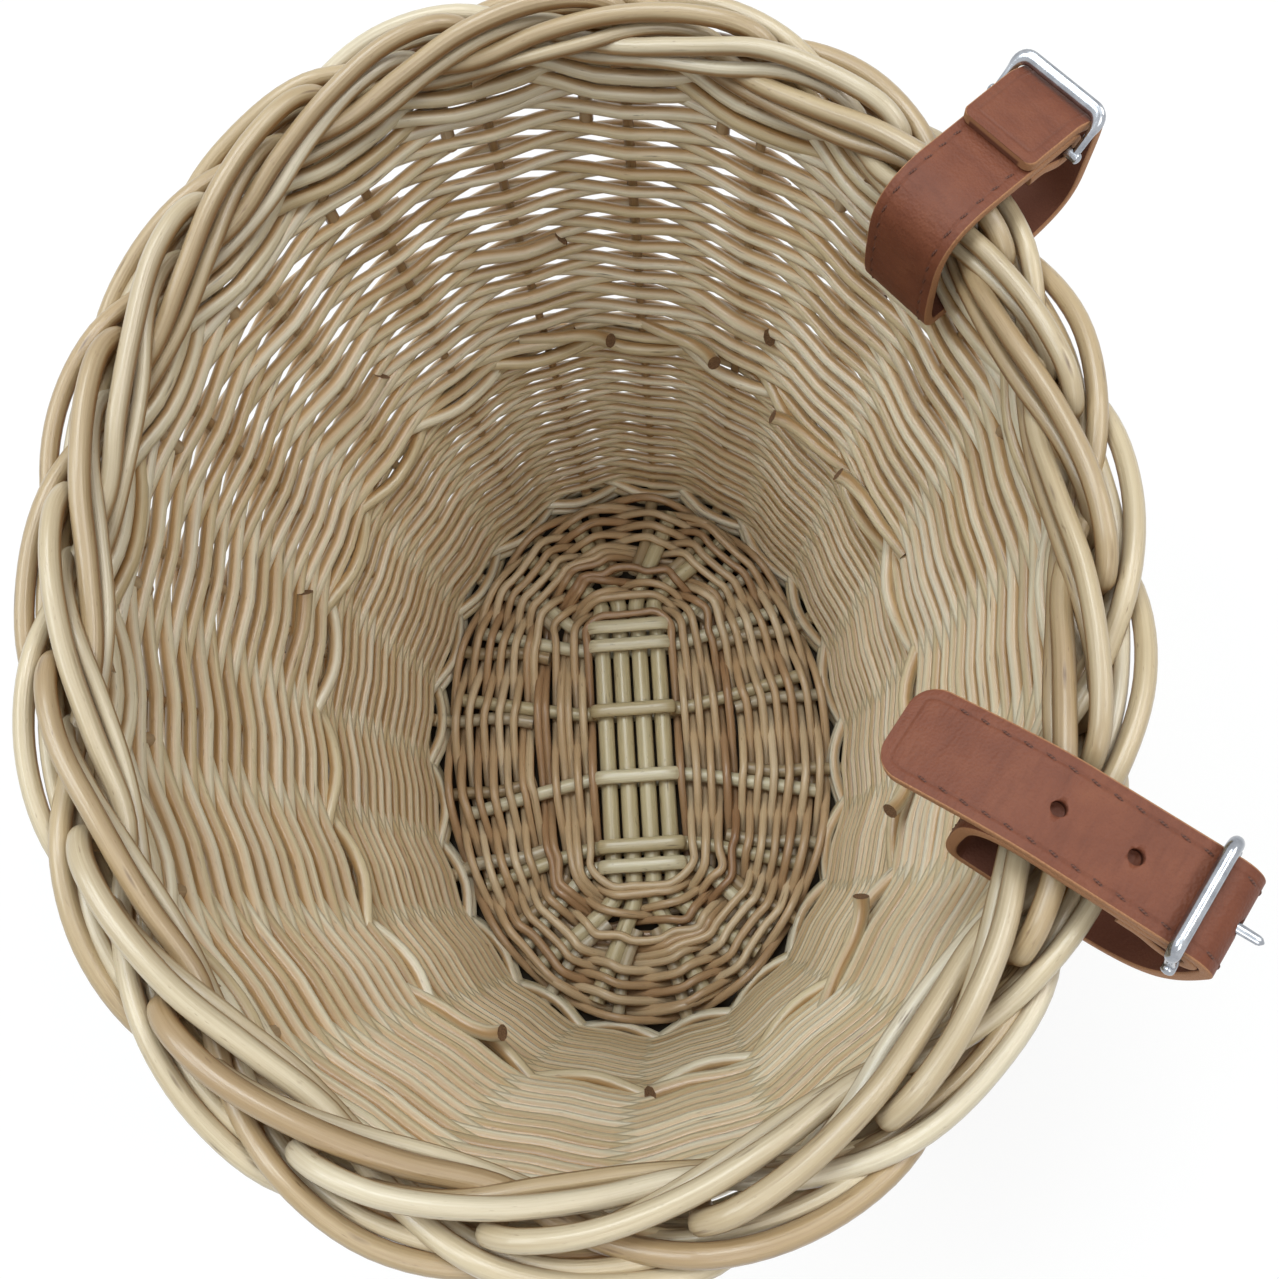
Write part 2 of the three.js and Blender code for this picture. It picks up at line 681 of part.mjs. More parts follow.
// The origin is on the ground, under the middle of the basket and its straps
const reach = new THREE.Box3().setFromObject(basket, true);
basket.position.set(-(reach.min.x + reach.max.x) / 2, -(reach.min.y + reach.max.y) / 2, 0);

const part = new THREE.Group();
part.add(basket);

export default part;
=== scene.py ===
import math
import random
from functools import partial

import bpy
import numpy as np
from mathutils import Matrix, Vector


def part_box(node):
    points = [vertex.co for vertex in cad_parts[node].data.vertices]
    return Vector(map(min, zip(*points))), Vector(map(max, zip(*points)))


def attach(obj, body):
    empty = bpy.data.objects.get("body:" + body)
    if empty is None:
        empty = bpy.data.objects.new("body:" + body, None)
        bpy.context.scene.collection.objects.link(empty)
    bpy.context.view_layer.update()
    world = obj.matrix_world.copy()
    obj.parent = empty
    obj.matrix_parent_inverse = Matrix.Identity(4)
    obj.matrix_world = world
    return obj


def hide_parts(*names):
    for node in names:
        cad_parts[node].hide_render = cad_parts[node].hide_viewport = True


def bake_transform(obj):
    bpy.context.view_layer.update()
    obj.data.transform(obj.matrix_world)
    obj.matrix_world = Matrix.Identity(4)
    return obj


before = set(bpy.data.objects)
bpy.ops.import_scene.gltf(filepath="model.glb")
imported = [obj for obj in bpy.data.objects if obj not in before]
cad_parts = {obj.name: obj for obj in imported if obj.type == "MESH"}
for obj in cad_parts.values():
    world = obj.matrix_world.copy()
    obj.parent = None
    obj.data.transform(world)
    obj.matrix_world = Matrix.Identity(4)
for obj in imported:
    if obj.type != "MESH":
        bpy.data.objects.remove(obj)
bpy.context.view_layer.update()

# Lengths are in millimetres until a mesh is made
MM = 0.001
dice = random.Random(11)

# Wall and rods, the same sizes as the part's source
BASE_HALF_WIDTH = 78
BASE_HALF_LENGTH = 107
RIM_HALF_WIDTH = 114.6
RIM_HALF_LENGTH = 141.6
RIM_HEIGHT = 221
STAKE_COUNT = 20
STAKE_DIAMETER = 5.2
STAKE_TIP = 4.5
STAKE_RADIUS = STAKE_DIAMETER / 2
STAKE_BUTT = 40
STICK_DIAMETER = 7
STICK_RADIUS = STICK_DIAMETER / 2
STICK_HEIGHT = 6.9
FOOT_HEIGHT = 12
FIT = 0.3
# Reach of the darker stain at a rod's ends
END_STAIN = 6

# The middle of the basket in the part's frame
foot_low, foot_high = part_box("foot_wale")
MIDDLE = np.array([(foot_low.x + foot_high.x) / 2, (foot_low.y + foot_high.y) / 2, 0])


def smooth_step(low, high, value):
    share = np.clip((value - low) / (high - low), 0, 1)
    return share * share * (3 - 2 * share)


def unit_rows(rows):
    return rows / np.linalg.norm(rows, axis=-1, keepdims=True)


def distances(points):
    """Length of the way to each point."""
    steps = np.linalg.norm(np.diff(points, axis=0), axis=1)
    return np.concatenate([[0], np.cumsum(steps)])


def at_places(spots, places, values):
    """Rows of values, known at the places, read at other spots."""
    return np.stack([np.interp(spots, places, column) for column in values.T], -1)


# The wall's oval. Stakes stand at equal steps along the rim, numbered as in the source.
turn_table = np.linspace(0, 2 * np.pi, 4001)
rim_line = np.stack([RIM_HALF_WIDTH * np.cos(turn_table), RIM_HALF_LENGTH * np.sin(turn_table)], -1)
rim_shares = distances(rim_line) / distances(rim_line)[-1]


def stake_angle(stake):
    share = (np.asarray(stake, float) + 0.5) / STAKE_COUNT
    whole = np.floor(share)
    return 2 * np.pi * whole + np.interp(share - whole, rim_shares, turn_table)


def wall_normal(stake):
    angle = stake_angle(stake)
    normal = np.stack([np.cos(angle) / RIM_HALF_WIDTH, np.sin(angle) / RIM_HALF_LENGTH, 0 * angle], -1)
    return unit_rows(normal)


def wall_point(stake, height, outward=0.0):
    angle = stake_angle(stake)
    height = np.broadcast_to(height, angle.shape)
    share = height / RIM_HEIGHT
    half_width = BASE_HALF_WIDTH + (RIM_HALF_WIDTH - BASE_HALF_WIDTH) * share
    half_length = BASE_HALF_LENGTH + (RIM_HALF_LENGTH - BASE_HALF_LENGTH) * share
    on_wall = np.stack([half_width * np.cos(angle), half_length * np.sin(angle), height], -1)
    return on_wall + wall_normal(stake) * np.broadcast_to(outward, angle.shape)[..., None]


def smooth_curve(points, steps):
    """Centripetal curve through points, with a number of steps for each span."""
    points = np.asarray(points, float)
    first = 2 * points[0] - points[1]
    last = 2 * points[-1] - points[-2]
    padded = np.vstack([first, points, last])
    curve = []
    for i in range(1, len(padded) - 2):
        p0, p1, p2, p3 = padded[i - 1:i + 3]
        t1 = math.sqrt(np.linalg.norm(p1 - p0))
        t2 = t1 + math.sqrt(np.linalg.norm(p2 - p1))
        t3 = t2 + math.sqrt(np.linalg.norm(p3 - p2))
        t = np.linspace(t1, t2, steps, endpoint=False)[:, None]
        a1 = (t1 - t) / t1 * p0 + t / t1 * p1
        a2 = (t2 - t) / (t2 - t1) * p1 + (t - t1) / (t2 - t1) * p2
        a3 = (t3 - t) / (t3 - t2) * p2 + (t - t2) / (t3 - t2) * p3
        b1 = (t2 - t) / t2 * a1 + t / t2 * a2
        b2 = (t3 - t) / (t3 - t1) * a2 + (t - t1) / (t3 - t1) * a3
        curve.append((t2 - t) / (t2 - t1) * b1 + (t - t1) / (t2 - t1) * b2)
    curve.append(points[-1:])
    return np.vstack(curve)


# Tubes gathered into one mesh, with the number of a material for each face. UVs are metres along a tube,
# and turns or metres round it. The point colours "own" hold numbers that a material reads.
class Bundle:
    def __init__(self):
        self.points = []
        self.colours = []
        self.faces = []
        self.uvs = []
        self.slots = []
        self.caps = []
        self.cap_slots = []
        self.count = 0

    def add_points(self, points, colours):
        start = self.count
        self.points.append(points)
        self.colours.append(colours)
        self.count += len(points)
        return start

    def add_cap(self, ring, colours, backward, slot):
        start = self.add_points(ring, colours)
        face = list(range(start, start + len(ring)))
        self.caps.append(face[::-1] if backward else face)
        self.cap_slots.append(slot)

    def add_tube(self, rings, colours, u, v, slot=0, closed=False):
        count, sides = rings.shape[:2]
        start = self.add_points(rings.reshape(-1, 3), colours.reshape(-1, 4))
        grid = start + np.arange(count * sides).reshape(-1, sides)
        if closed:
            grid = np.vstack([grid, grid[:1]])
        turned = np.roll(grid, -1, axis=1)
        faces = np.stack([grid[:-1], turned[:-1], turned[1:], grid[1:]], -1).reshape(-1, 4)
        self.faces.append(faces)
        self.slots.append(np.full(len(faces), slot))
        u_low, v_low = np.meshgrid(u[:len(grid) - 1], v[:-1], indexing="ij")
        u_high, v_high = np.meshgrid(u[1:len(grid)], v[1:], indexing="ij")
        corners = [(u_low, v_low), (u_low, v_high), (u_high, v_high), (u_high, v_low)]
        self.uvs.append(np.stack([np.stack(corner, -1) for corner in corners], 2).reshape(-1, 2))

    def add_rod(self, points, radius, sides, hue, shade=0.5, slant=(0, 0), flat=1.0, side=None, slots=(0, 1),
                closed=False):
        """Rod along the points. Flat is its thickness towards the side as a share of its width."""
        points = np.asarray(points, float)
        count = len(points)
        radius = np.broadcast_to(np.asarray(radius, float), (count,))
        flat = np.broadcast_to(np.asarray(flat, float), (count,))
        if closed:
            along = unit_rows(np.roll(points, -1, axis=0) - np.roll(points, 1, axis=0))
        else:
            along = unit_rows(np.gradient(points, axis=0))
        if side is None:
            side = np.array([0, 0, 1.0]) if abs(along[0, 2]) < 0.9 else np.array([1.0, 0, 0])
        side_rows = np.empty_like(points)
        for i, direction in enumerate(along):
            side = side - direction * np.dot(side, direction)
            side = side / np.linalg.norm(side)
            side_rows[i] = side
        other_rows = np.cross(along, side_rows)
        turn = 2 * np.pi * np.arange(sides) / sides
        ring = np.cos(turn)[None, :, None] * side_rows[:, None] * flat[:, None, None]
        ring = ring + np.sin(turn)[None, :, None] * other_rows[:, None]
        rings = points[:, None] + radius[:, None, None] * ring
        for end, amount in ((0, slant[0]), (-1, slant[1])):
            rings[end] += along[end] * amount * radius[end] * np.cos(turn)[:, None]
        distance = distances(points)
        near_end = np.exp(-np.minimum(distance, distance[-1] - distance) / END_STAIN)
        shade = np.broadcast_to(shade, (count,))
        rows = np.stack([np.full(count, hue), shade, near_end, np.ones(count)], -1)
        colours = np.repeat(rows[:, None], sides, axis=1)
        u = (np.append(distance, distance[-1]) + dice.uniform(0, 900)) * MM
        self.add_tube(rings, colours, u, np.arange(sides + 1) / sides, slots[0], closed)
        if not closed:
            self.add_cap(rings[0], colours[0], True, slots[1])
            self.add_cap(rings[-1], colours[-1], False, slots[1])


def bundle_object(name, bundle, materials):
    mesh = bpy.data.meshes.new(name)
    tube_faces = np.concatenate(bundle.faces)
    points = np.concatenate(bundle.points) * MM + MIDDLE
    mesh.from_pydata(points.tolist(), [], tube_faces.tolist() + bundle.caps)
    cap_corners = sum(len(face) for face in bundle.caps)
    uvs = np.vstack([np.concatenate(bundle.uvs), np.zeros((cap_corners, 2))])
    mesh.uv_layers.new(name="UVMap").data.foreach_set("uv", uvs.ravel())
    colours = mesh.color_attributes.new("own", "FLOAT_COLOR", "POINT")
    colours.data.foreach_set("color", np.concatenate(bundle.colours).ravel())
    slots = np.concatenate([*bundle.slots, np.array(bundle.cap_slots, int)]).astype(np.int32)
    mesh.polygons.foreach_set("material_index", slots)
    smooth = np.arange(len(mesh.polygons)) < len(tube_faces)
    mesh.polygons.foreach_set("use_smooth", smooth)
    for material in materials:
        mesh.materials.append(material)
    mesh.update()
    piece = bpy.data.objects.new(name, mesh)
    bpy.context.scene.collection.objects.link(piece)
    return piece


def finish_piece(piece, body, node_names):
    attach(piece, body)
    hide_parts(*node_names)


# Materials
PLAIN = (1, 1, 1)


def linear(red, green, blue):
    def channel(value):
        value = value / 255
        return value / 12.92 if value <= 0.04045 else ((value + 0.055) / 1.055) ** 2.4
    return channel(red), channel(green), channel(blue), 1.0


def hue_ramp(*stops):
    """Ramp stops, each a place and a colour as it is written."""
    return [(place, linear(*colour)) for place, *colour in stops]


class Nodes:
    def __init__(self, name):
        self.material = bpy.data.materials.new(name)
        self.material.use_nodes = True
        self.tree = self.material.node_tree
        self.shader = self.tree.nodes["Principled BSDF"]

    def add(self, kind, **settings):
        node = self.tree.nodes.new(kind)
        for key, value in settings.items():
            setattr(node, key, value)
        return node

    def link(self, source, target):
        self.tree.links.new(source, target)

    def feed(self, sockets, values):
        for socket, value in zip(sockets, values):
            if isinstance(value, (int, float, tuple)):
                socket.default_value = value
            else:
                self.link(value, socket)

    def set(self, **values):
        for name, value in values.items():
            self.feed([self.shader.inputs[name.replace("_", " ")]], [value])

    def math(self, operation, first, second=0.0, clamp=False):
        node = self.add("ShaderNodeMath", operation=operation, use_clamp=clamp)
        self.feed(node.inputs, (first, second))
        return node.outputs[0]

    def times(self, first, second, clamp=False):
        return self.math("MULTIPLY", first, second, clamp)

    def plus(self, first, second, clamp=False):
        return self.math("ADD", first, second, clamp)

    def minus(self, first, second, clamp=False):
        return self.math("SUBTRACT", first, second, clamp)

    def combine(self, x, y, z):
        node = self.add("ShaderNodeCombineXYZ")
        self.feed(node.inputs, (x, y, z))
        return node.outputs[0]

    def split(self, vector):
        node = self.add("ShaderNodeSeparateXYZ")
        self.link(vector, node.inputs[0])
        return node.outputs

    def own(self):
        node = self.add("ShaderNodeAttribute", attribute_name="own")
        return self.split(node.outputs["Vector"])

    def noise(self, vector, scale, detail=3.0, rough=0.5):
        node = self.add("ShaderNodeTexNoise")
        self.feed([node.inputs[name] for name in ("Scale", "Detail", "Roughness")], (scale, detail, rough))
        self.link(vector, node.inputs["Vector"])
        return node.outputs["Fac"]

    def cells(self, vector, scale):
        node = self.add("ShaderNodeTexVoronoi", feature="F1")
        node.inputs["Scale"].default_value = scale
        self.link(vector, node.inputs["Vector"])
        return node.outputs["Distance"]

    def ramp(self, factor, stops):
        node = self.add("ShaderNodeValToRGB")
        elements = node.color_ramp.elements
        while len(elements) < len(stops):
            elements.new(0.5)
        for element, (place, colour) in zip(elements, stops):
            element.position = place
            element.color = colour if len(colour) == 4 else (*colour, 1.0)
        self.link(factor, node.inputs["Fac"])
        return node.outputs["Color"]

    def mix(self, blend, factor, first, second):
        node = self.add("ShaderNodeMix", data_type="RGBA", blend_type=blend)
        self.feed((node.inputs[0], node.inputs[6], node.inputs[7]), (factor, first, second))
        return node.outputs[2]

    def tone(self, strength, colour, factor, stops):
        """The colour multiplied by a ramp."""
        return self.mix("MULTIPLY", strength, colour, self.ramp(factor, stops))

    def stain(self, colour, place, strength, *stain):
        return self.mix("MIX", self.times(place, strength), colour, linear(*stain))

    def bump(self, height, strength, distance):
        node = self.add("ShaderNodeBump")
        self.feed([node.inputs[name] for name in ("Strength", "Distance")], (strength, distance))
        self.link(height, node.inputs["Height"])
        self.link(node.outputs["Normal"], self.shader.inputs["Normal"])


# Peeled willow: streaks along the rod, slow changes of tone, bud scars and dark specks. Painted shade darkens
# the sides that lie against other rods: above and below in the wall, and away from the sky where rods lie
# flat.
def willow_material(name, hues, gloss, in_wall):
    nodes = Nodes(name)
    along, around, _ = nodes.split(nodes.add("ShaderNodeUVMap", uv_map="UVMap").outputs[0])
    turn = nodes.times(around, 2 * math.pi)
    across = nodes.math("COSINE", turn)
    depth = nodes.math("SINE", turn)
    hue, shade, near_end = nodes.own()
    place = nodes.times(hue, 37.0)
    shifted = nodes.plus(along, place)
    streak_place = nodes.combine(nodes.times(shifted, 9.0), across, depth)
    streaks = nodes.noise(streak_place, 3.2, 5.0, 0.62)
    slow_place = nodes.combine(nodes.times(shifted, 14.0), place, 0.0)
    slow = nodes.noise(slow_place, 1.0, 2.0, 0.5)
    level = nodes.plus(nodes.times(hue, 0.62), nodes.times(slow, 0.38))
    toned = nodes.ramp(level, hues)
    toned = nodes.tone(0.5, toned, streaks, [(0.3, (0.66, 0.58, 0.48)), (0.62, PLAIN)])
    shades = [(0.0, (0.62, 0.54, 0.46)), (0.5, PLAIN), (1.0, (1.12, 1.1, 1.06))]
    toned = nodes.tone(1.0, toned, shade, shades)
    # Painted shade: a darker warm tone where a rod faces its neighbours in the wall, or turns from the sky
    # lying flat
    if in_wall:
        painted_shade = nodes.math("ABSOLUTE", across)
    else:
        to_sky = nodes.split(nodes.add("ShaderNodeNewGeometry").outputs["Normal"])[2]
        painted_shade = nodes.minus(1.0, to_sky, clamp=True)
    toned = nodes.tone(1.0, toned, painted_shade, [(0.6, PLAIN), (1.0, (0.68, 0.48, 0.3))])
    # Bud scars sit far apart along a rod, specks close together
    scar_side = nodes.times(across, 0.55)
    scar_place = nodes.combine(nodes.times(shifted, 38.0), scar_side, depth)
    scar = nodes.minus(1.0, nodes.times(nodes.cells(scar_place, 1.0), 7.5), clamp=True)
    speck_side = nodes.times(across, 1.6)
    speck_place = nodes.combine(nodes.times(shifted, 120.0), speck_side, depth)
    speck = nodes.minus(nodes.noise(speck_place, 2.0, 2.0, 0.6), 0.66, clamp=True)
    speck = nodes.times(speck, 7.0, clamp=True)
    toned = nodes.stain(toned, speck, 0.6, 98, 68, 42)
    toned = nodes.stain(toned, scar, 0.85, 82, 54, 32)
    toned = nodes.stain(toned, near_end, 0.3, 116, 84, 54)
    rough = nodes.plus(nodes.times(streaks, 0.3), gloss)
    nodes.set(Base_Color=toned, Roughness=rough, Specular_IOR_Level=0.5, Coat_Weight=0.4, Coat_Roughness=0.15)
    nodes.bump(nodes.minus(streaks, nodes.times(scar, 0.6)), 0.35, 0.0006)
    return nodes.material


def cut_material(name, outer, core):
    nodes = Nodes(name)
    fibres = nodes.noise(nodes.add("ShaderNodeNewGeometry").outputs["Position"], 2600.0, 2.0, 0.6)
    nodes.set(Base_Color=nodes.ramp(fibres, [(0.3, core), (0.7, outer)]), Roughness=0.8)
    nodes.bump(fibres, 0.4, 0.0004)
    return nodes.material


# Leather: grain and fine creases, a groove pressed along the edges, pale raw edges and a dull inner face.
# Its own numbers are the distance from the edge and the side of the strap.
GROOVE_PLACE = 2.6
EDGE_REACH = 6.0


def leather_material():
    nodes = Nodes("leather")
    uv = nodes.add("ShaderNodeUVMap", uv_map="UVMap").outputs[0]
    along, across, _ = nodes.split(uv)
    edge, face, _ = nodes.own()
    patches = nodes.noise(uv, 90.0, 3.0, 0.55)
    grain = nodes.cells(uv, 1500.0)
    pores = nodes.noise(uv, 2600.0, 3.0, 0.6)
    creases = nodes.noise(nodes.combine(along, nodes.times(across, 0.22), 0.0), 520.0, 4.0, 0.6)
    tans = hue_ramp((0.25, 99, 52, 33), (0.5, 110, 60, 39), (0.8, 121, 70, 46))
    finished = nodes.ramp(patches, tans)
    finished = nodes.tone(0.4, finished, creases, [(0.36, (0.72, 0.66, 0.62)), (0.52, PLAIN)])
    finished = nodes.tone(0.6, finished, pores, [(0.3, (0.78, 0.74, 0.7)), (0.55, PLAIN)])
    from_groove = nodes.math("ABSOLUTE", nodes.minus(edge, GROOVE_PLACE / EDGE_REACH))
    groove = nodes.minus(1.0, nodes.times(from_groove, EDGE_REACH / 0.55), clamp=True)
    finished = nodes.stain(finished, groove, 0.16, 76, 40, 28)
    fibres = nodes.noise(nodes.combine(along, nodes.times(across, 5.0), 0.0), 1900.0, 3.0, 0.7)
    raw = nodes.ramp(fibres, hue_ramp((0.3, 136, 90, 60), (0.7, 180, 134, 96)))
    inner = nodes.ramp(fibres, hue_ramp((0.25, 84, 46, 32), (0.75, 112, 68, 50)))
    on_face = nodes.times(nodes.minus(face, 0.62), 8.0, clamp=True)
    off_inner = nodes.times(nodes.minus(face, 0.2), 8.0, clamp=True)
    colour = nodes.mix("MIX", on_face, nodes.mix("MIX", off_inner, inner, raw), finished)
    rough = nodes.minus(nodes.plus(0.62, nodes.times(pores, 0.25)), nodes.times(on_face, 0.2))
    nodes.set(Base_Color=colour, Roughness=rough, Specular_IOR_Level=0.32)
    height = nodes.plus(nodes.times(grain, 0.35), nodes.times(creases, 0.7))
    pressed = nodes.times(nodes.times(groove, on_face), 0.6)
    height = nodes.minus(height, pressed)
    nodes.bump(height, 0.5, 0.0005)
    return nodes.material


def thread_material():
    nodes = Nodes("thread")
    along, around, _ = nodes.split(nodes.add("ShaderNodeUVMap", uv_map="UVMap").outputs[0])
    twist = nodes.plus(nodes.times(along, 1400.0), around)
    strands = nodes.math("SINE", nodes.times(twist, 2 * math.pi))
    tone = nodes.plus(nodes.times(strands, 0.5), 0.5)
    colour = nodes.ramp(tone, hue_ramp((0.0, 64, 34, 24), (1.0, 100, 58, 42)))
    nodes.set(Base_Color=colour, Roughness=0.7)
    nodes.bump(tone, 0.4, 0.0002)
    return nodes.material


def chrome_material():
    nodes = Nodes("chrome")
    place = nodes.add("ShaderNodeNewGeometry").outputs["Position"]
    smears = nodes.noise(place, 260.0, 4.0, 0.6)
    pits = nodes.noise(place, 2400.0, 2.0, 0.5)
    rough = nodes.plus(0.1, nodes.times(smears, 0.16))
    tint = nodes.ramp(smears, hue_ramp((0.3, 142, 146, 153), (0.7, 184, 188, 194)))
    nodes.set(Base_Color=tint, Roughness=rough, Metallic=1.0)
    nodes.bump(nodes.plus(smears, nodes.times(pits, 0.3)), 0.06, 0.0005)
    return nodes.material


wall_hues = hue_ramp(
    (0.05, 240, 236, 221), (0.3, 232, 224, 200), (0.55, 220, 208, 177), (0.8, 205, 187, 149),
    (0.95, 178, 152, 111),
)
pale_hues = hue_ramp(
    (0.05, 213, 205, 185), (0.35, 199, 186, 158), (0.65, 179, 159, 124), (0.95, 157, 130, 93)
)
stick_hues = hue_ramp(
    (0.05, 228, 220, 192), (0.35, 217, 207, 173), (0.65, 203, 190, 152), (0.95, 183, 163, 122)
)
brown_hues = hue_ramp(
    (0.05, 226, 207, 176), (0.35, 209, 184, 147), (0.62, 189, 157, 119), (0.92, 155, 115, 80)
)
wall_willow = willow_material("wall_willow", wall_hues, 0.22, True)
pale_willow = willow_material("pale_willow", pale_hues, 0.2, False)
stick_willow = willow_material("stick_willow", stick_hues, 0.22, False)
brown_willow = willow_material("brown_willow", brown_hues, 0.28, False)
dark_cut = cut_material("dark_cut_willow", linear(140, 106, 74), linear(76, 50, 32))
pale_cut = cut_material("pale_cut_willow", linear(222, 208, 176), linear(186, 160, 122))
leather = leather_material()
thread = thread_material()
chrome = chrome_material()


def wander(places, size, longest):
    """Smooth random line over the places, made of a few waves."""
    line = np.zeros(len(places))
    for wave in range(1, 4):
        phase = dice.uniform(0, 2 * math.pi)
        line += np.sin(2 * np.pi * places * wave / longest + phase) / wave
    return size * line


def wander_along(route, size, longest, length=1):
    return wander(np.linspace(0, length, len(route)), size, longest)


# Plain weave: every rod goes round once, in front of one stake and behind the next, almost straight
# between them. Most rods start and end outside. The ones in the list, given by stake and height, start
# inside with a thick cut end that lies on the other rods. The far wall is woven more openly.
shown_ends = [(4.1, 150), (5.6, 106), (7.3, 134), (9.5, 119), (14.15, 112), (2.1, 128)]
END_STANDS_OUT = 2.0
SHOWN_SPAN = (-0.36, 0.2)
HIDDEN_SPAN = (-0.22, -0.18)
BEND_SHARPNESS = 0.97
WALL_PRESS = 0.46
OPEN_PRESS = 0.3
OPEN_THINNING = 0.1
OPEN_STAKE = 5.2
OPEN_SPREAD = 2.6
OPEN_FROM = 118
OPEN_FULL = 150
WEAVE_STEPS = 9
SHOWN_BUTT = 1.25
HIDDEN_BUTT = (1.02, 1.12)
THIN_TIP = (0.84, 0.94)
TAPER_SPEED = 3
SHOWN_REACH = 0.6
SWAY = 0.12
ROW_STRAY = 0.09
sway_phases = [dice.uniform(0, 2 * math.pi) for wave in range(2)]


def openness(places, height):
    """How openly the wall is woven, from 0 to 1."""
    from_open = (places - OPEN_STAKE + STAKE_COUNT / 2) % STAKE_COUNT - STAKE_COUNT / 2
    return np.exp(-(from_open / OPEN_SPREAD) ** 2) * smooth_step(OPEN_FROM, OPEN_FULL, height)


def weave_rows(bundle, low, high, rows, diameter, sides):
    pitch = (high - low) / rows
    for row in range(rows):
        middle = low + pitch * (row + 0.5)
        shown = [stake for stake, height in shown_ends if abs(height - middle) < pitch / 2]
        start = dice.randrange(STAKE_COUNT // 2) * 2 + row % 2 + 1
        if shown:
            start = round((shown[0] - row) / 2) * 2 + row
        first, last = SHOWN_SPAN if shown else HIDDEN_SPAN
        places = start + np.linspace(first, STAKE_COUNT + last, STAKE_COUNT * WEAVE_STEPS)
        share = np.linspace(0, 1, len(places))
        butt = diameter * (SHOWN_BUTT if shown else dice.uniform(*HIDDEN_BUTT))
        tip = diameter * dice.uniform(*THIN_TIP)
        opened = openness(places, middle)
        radius = (tip + (butt - tip) * np.exp(-TAPER_SPEED * share)) / 2 * (1 - OPEN_THINNING * opened)
        wave = np.arcsin(BEND_SHARPNESS * np.cos(np.pi * (places + row))) / math.asin(BEND_SHARPNESS)
        press = WALL_PRESS + OPEN_PRESS * opened
        reach = press * (STAKE_RADIUS + radius) * (1 + wander(places, 0.03, STAKE_COUNT))
        from_edge = np.sin(np.pi * (row + 0.5) / rows)
        sway = 0
        for number, phase in enumerate(sway_phases):
            sway = sway + np.sin(2 * np.pi * places * (number + 2) / STAKE_COUNT + phase)
        height = middle + SWAY * pitch * from_edge * sway
        height = height + wander(places, ROW_STRAY * pitch, STAKE_COUNT / 2)
        outward = -reach * wave
        if shown:
            outward = outward - END_STANDS_OUT * np.exp(-((places - places[0]) / SHOWN_REACH) ** 2)
        points = wall_point(places, height, outward)
        shade = 0.5 + wander(places, 0.09, 7)
        slant = (0.7, 0) if shown else (0, 0)
        bundle.add_rod(points, radius, sides, dice.random(), shade, slant)


# Thick ends of joined rods that poke out of the wall on the inside, given by stake and height
poking_ends = [(4.3, 109), (3.1, 110), (2.3, 103), (1.3, 112), (18.0, 112), (13.2, 107), (17.2, 113)]
POKING_DIAMETER = 4.8


def add_poking_end(bundle, stake, height):
    turn = dice.choice((-1, 1))
    places = np.array([0, 0.1, 0.3, 0.6, 0.95]) * turn + stake
    heights = height + np.array([1.5, 0.8, 0, -0.3, -0.3])
    route = smooth_curve(wall_point(places, heights, np.array([-10, -8, -6, -4.6, -1])), 6)
    thick = POKING_DIAMETER / 2 * np.linspace(1, 0.8, len(route))
    bundle.add_rod(route, thick, 10, dice.uniform(0.4, 0.9), slant=(0.25, 0))


# Wale: three rods that each go outside two stakes and inside one, one after another, from the seam round to
# the seam. A thin start and a thin end lie hidden in the rod that goes on there.
WALE_SEAM = 17.1
WALE_OVERLAP = 0.3
WALE_STEPS = 8
WALE_THIN_START = 0.25
WALE_LIFT = 0.52


def wale_row(bundle, middle, diameter, sides):
    for strand in range(3):
        places = WALE_SEAM + np.linspace(-WALE_OVERLAP, STAKE_COUNT + WALE_OVERLAP, STAKE_COUNT * WALE_STEPS)
        beat = (places - WALE_SEAM - strand) % 3
        falling = np.cos(np.pi * (beat - 1))
        out = np.where(beat < 1, 1.0, np.where(beat < 2, falling, -np.cos(np.pi * (beat - 2))))
        lift = np.where(beat < 1, np.cos(np.pi * beat), 0.0)
        lift = np.where((beat >= 1) & (beat < 2), smooth_step(1.5, 2, beat) - 1, lift)
        lift = np.where(beat >= 2, smooth_step(2, 2.5, beat), lift)
        swelling = 1 - WALE_THIN_START * np.exp((places[0] - places) / WALE_OVERLAP)
        radius = diameter / 2 * np.linspace(1.06, 0.92, len(places)) * swelling
        height = middle + WALE_LIFT * diameter * lift
        points = wall_point(places, height, out * (STAKE_RADIUS + radius))
        bundle.add_rod(points, radius, sides, dice.random(), 0.5 + wander(places, 0.08, 6))


def wall_piece(node, bundle):
    piece = bundle_object(f"{node}_rods", bundle, [wall_willow, dark_cut])
    finish_piece(piece, "basket", [node])


upper = Bundle()
weave_rows(upper, low=101, high=201.5, rows=28, diameter=4.2, sides=8)
wall_piece("upper_weave", upper)
lower = Bundle()
weave_rows(lower, low=11, high=99, rows=29, diameter=3.5, sides=7)
wall_piece("lower_weave", lower)

# Wales, with the height and rod diameter of each row and the sides of a rod
wales = [
    ("mid_wale", [(100, 4.5)], 8),
    ("top_wale", [(203.4, 3.9), (209.0, 4.1), (214.6, 4.1)], 8),
    ("foot_wale", [(4.3, 3.9), (9.4, 3.9)], 7),
]
for node, rows, sides in wales:
    wale = Bundle()
    for middle, diameter in rows:
        wale_row(wale, middle, diameter, sides)
    if node == "mid_wale":
        for stake, height in poking_ends:
            add_poking_end(wale, stake, height)
    wall_piece(node, wale)

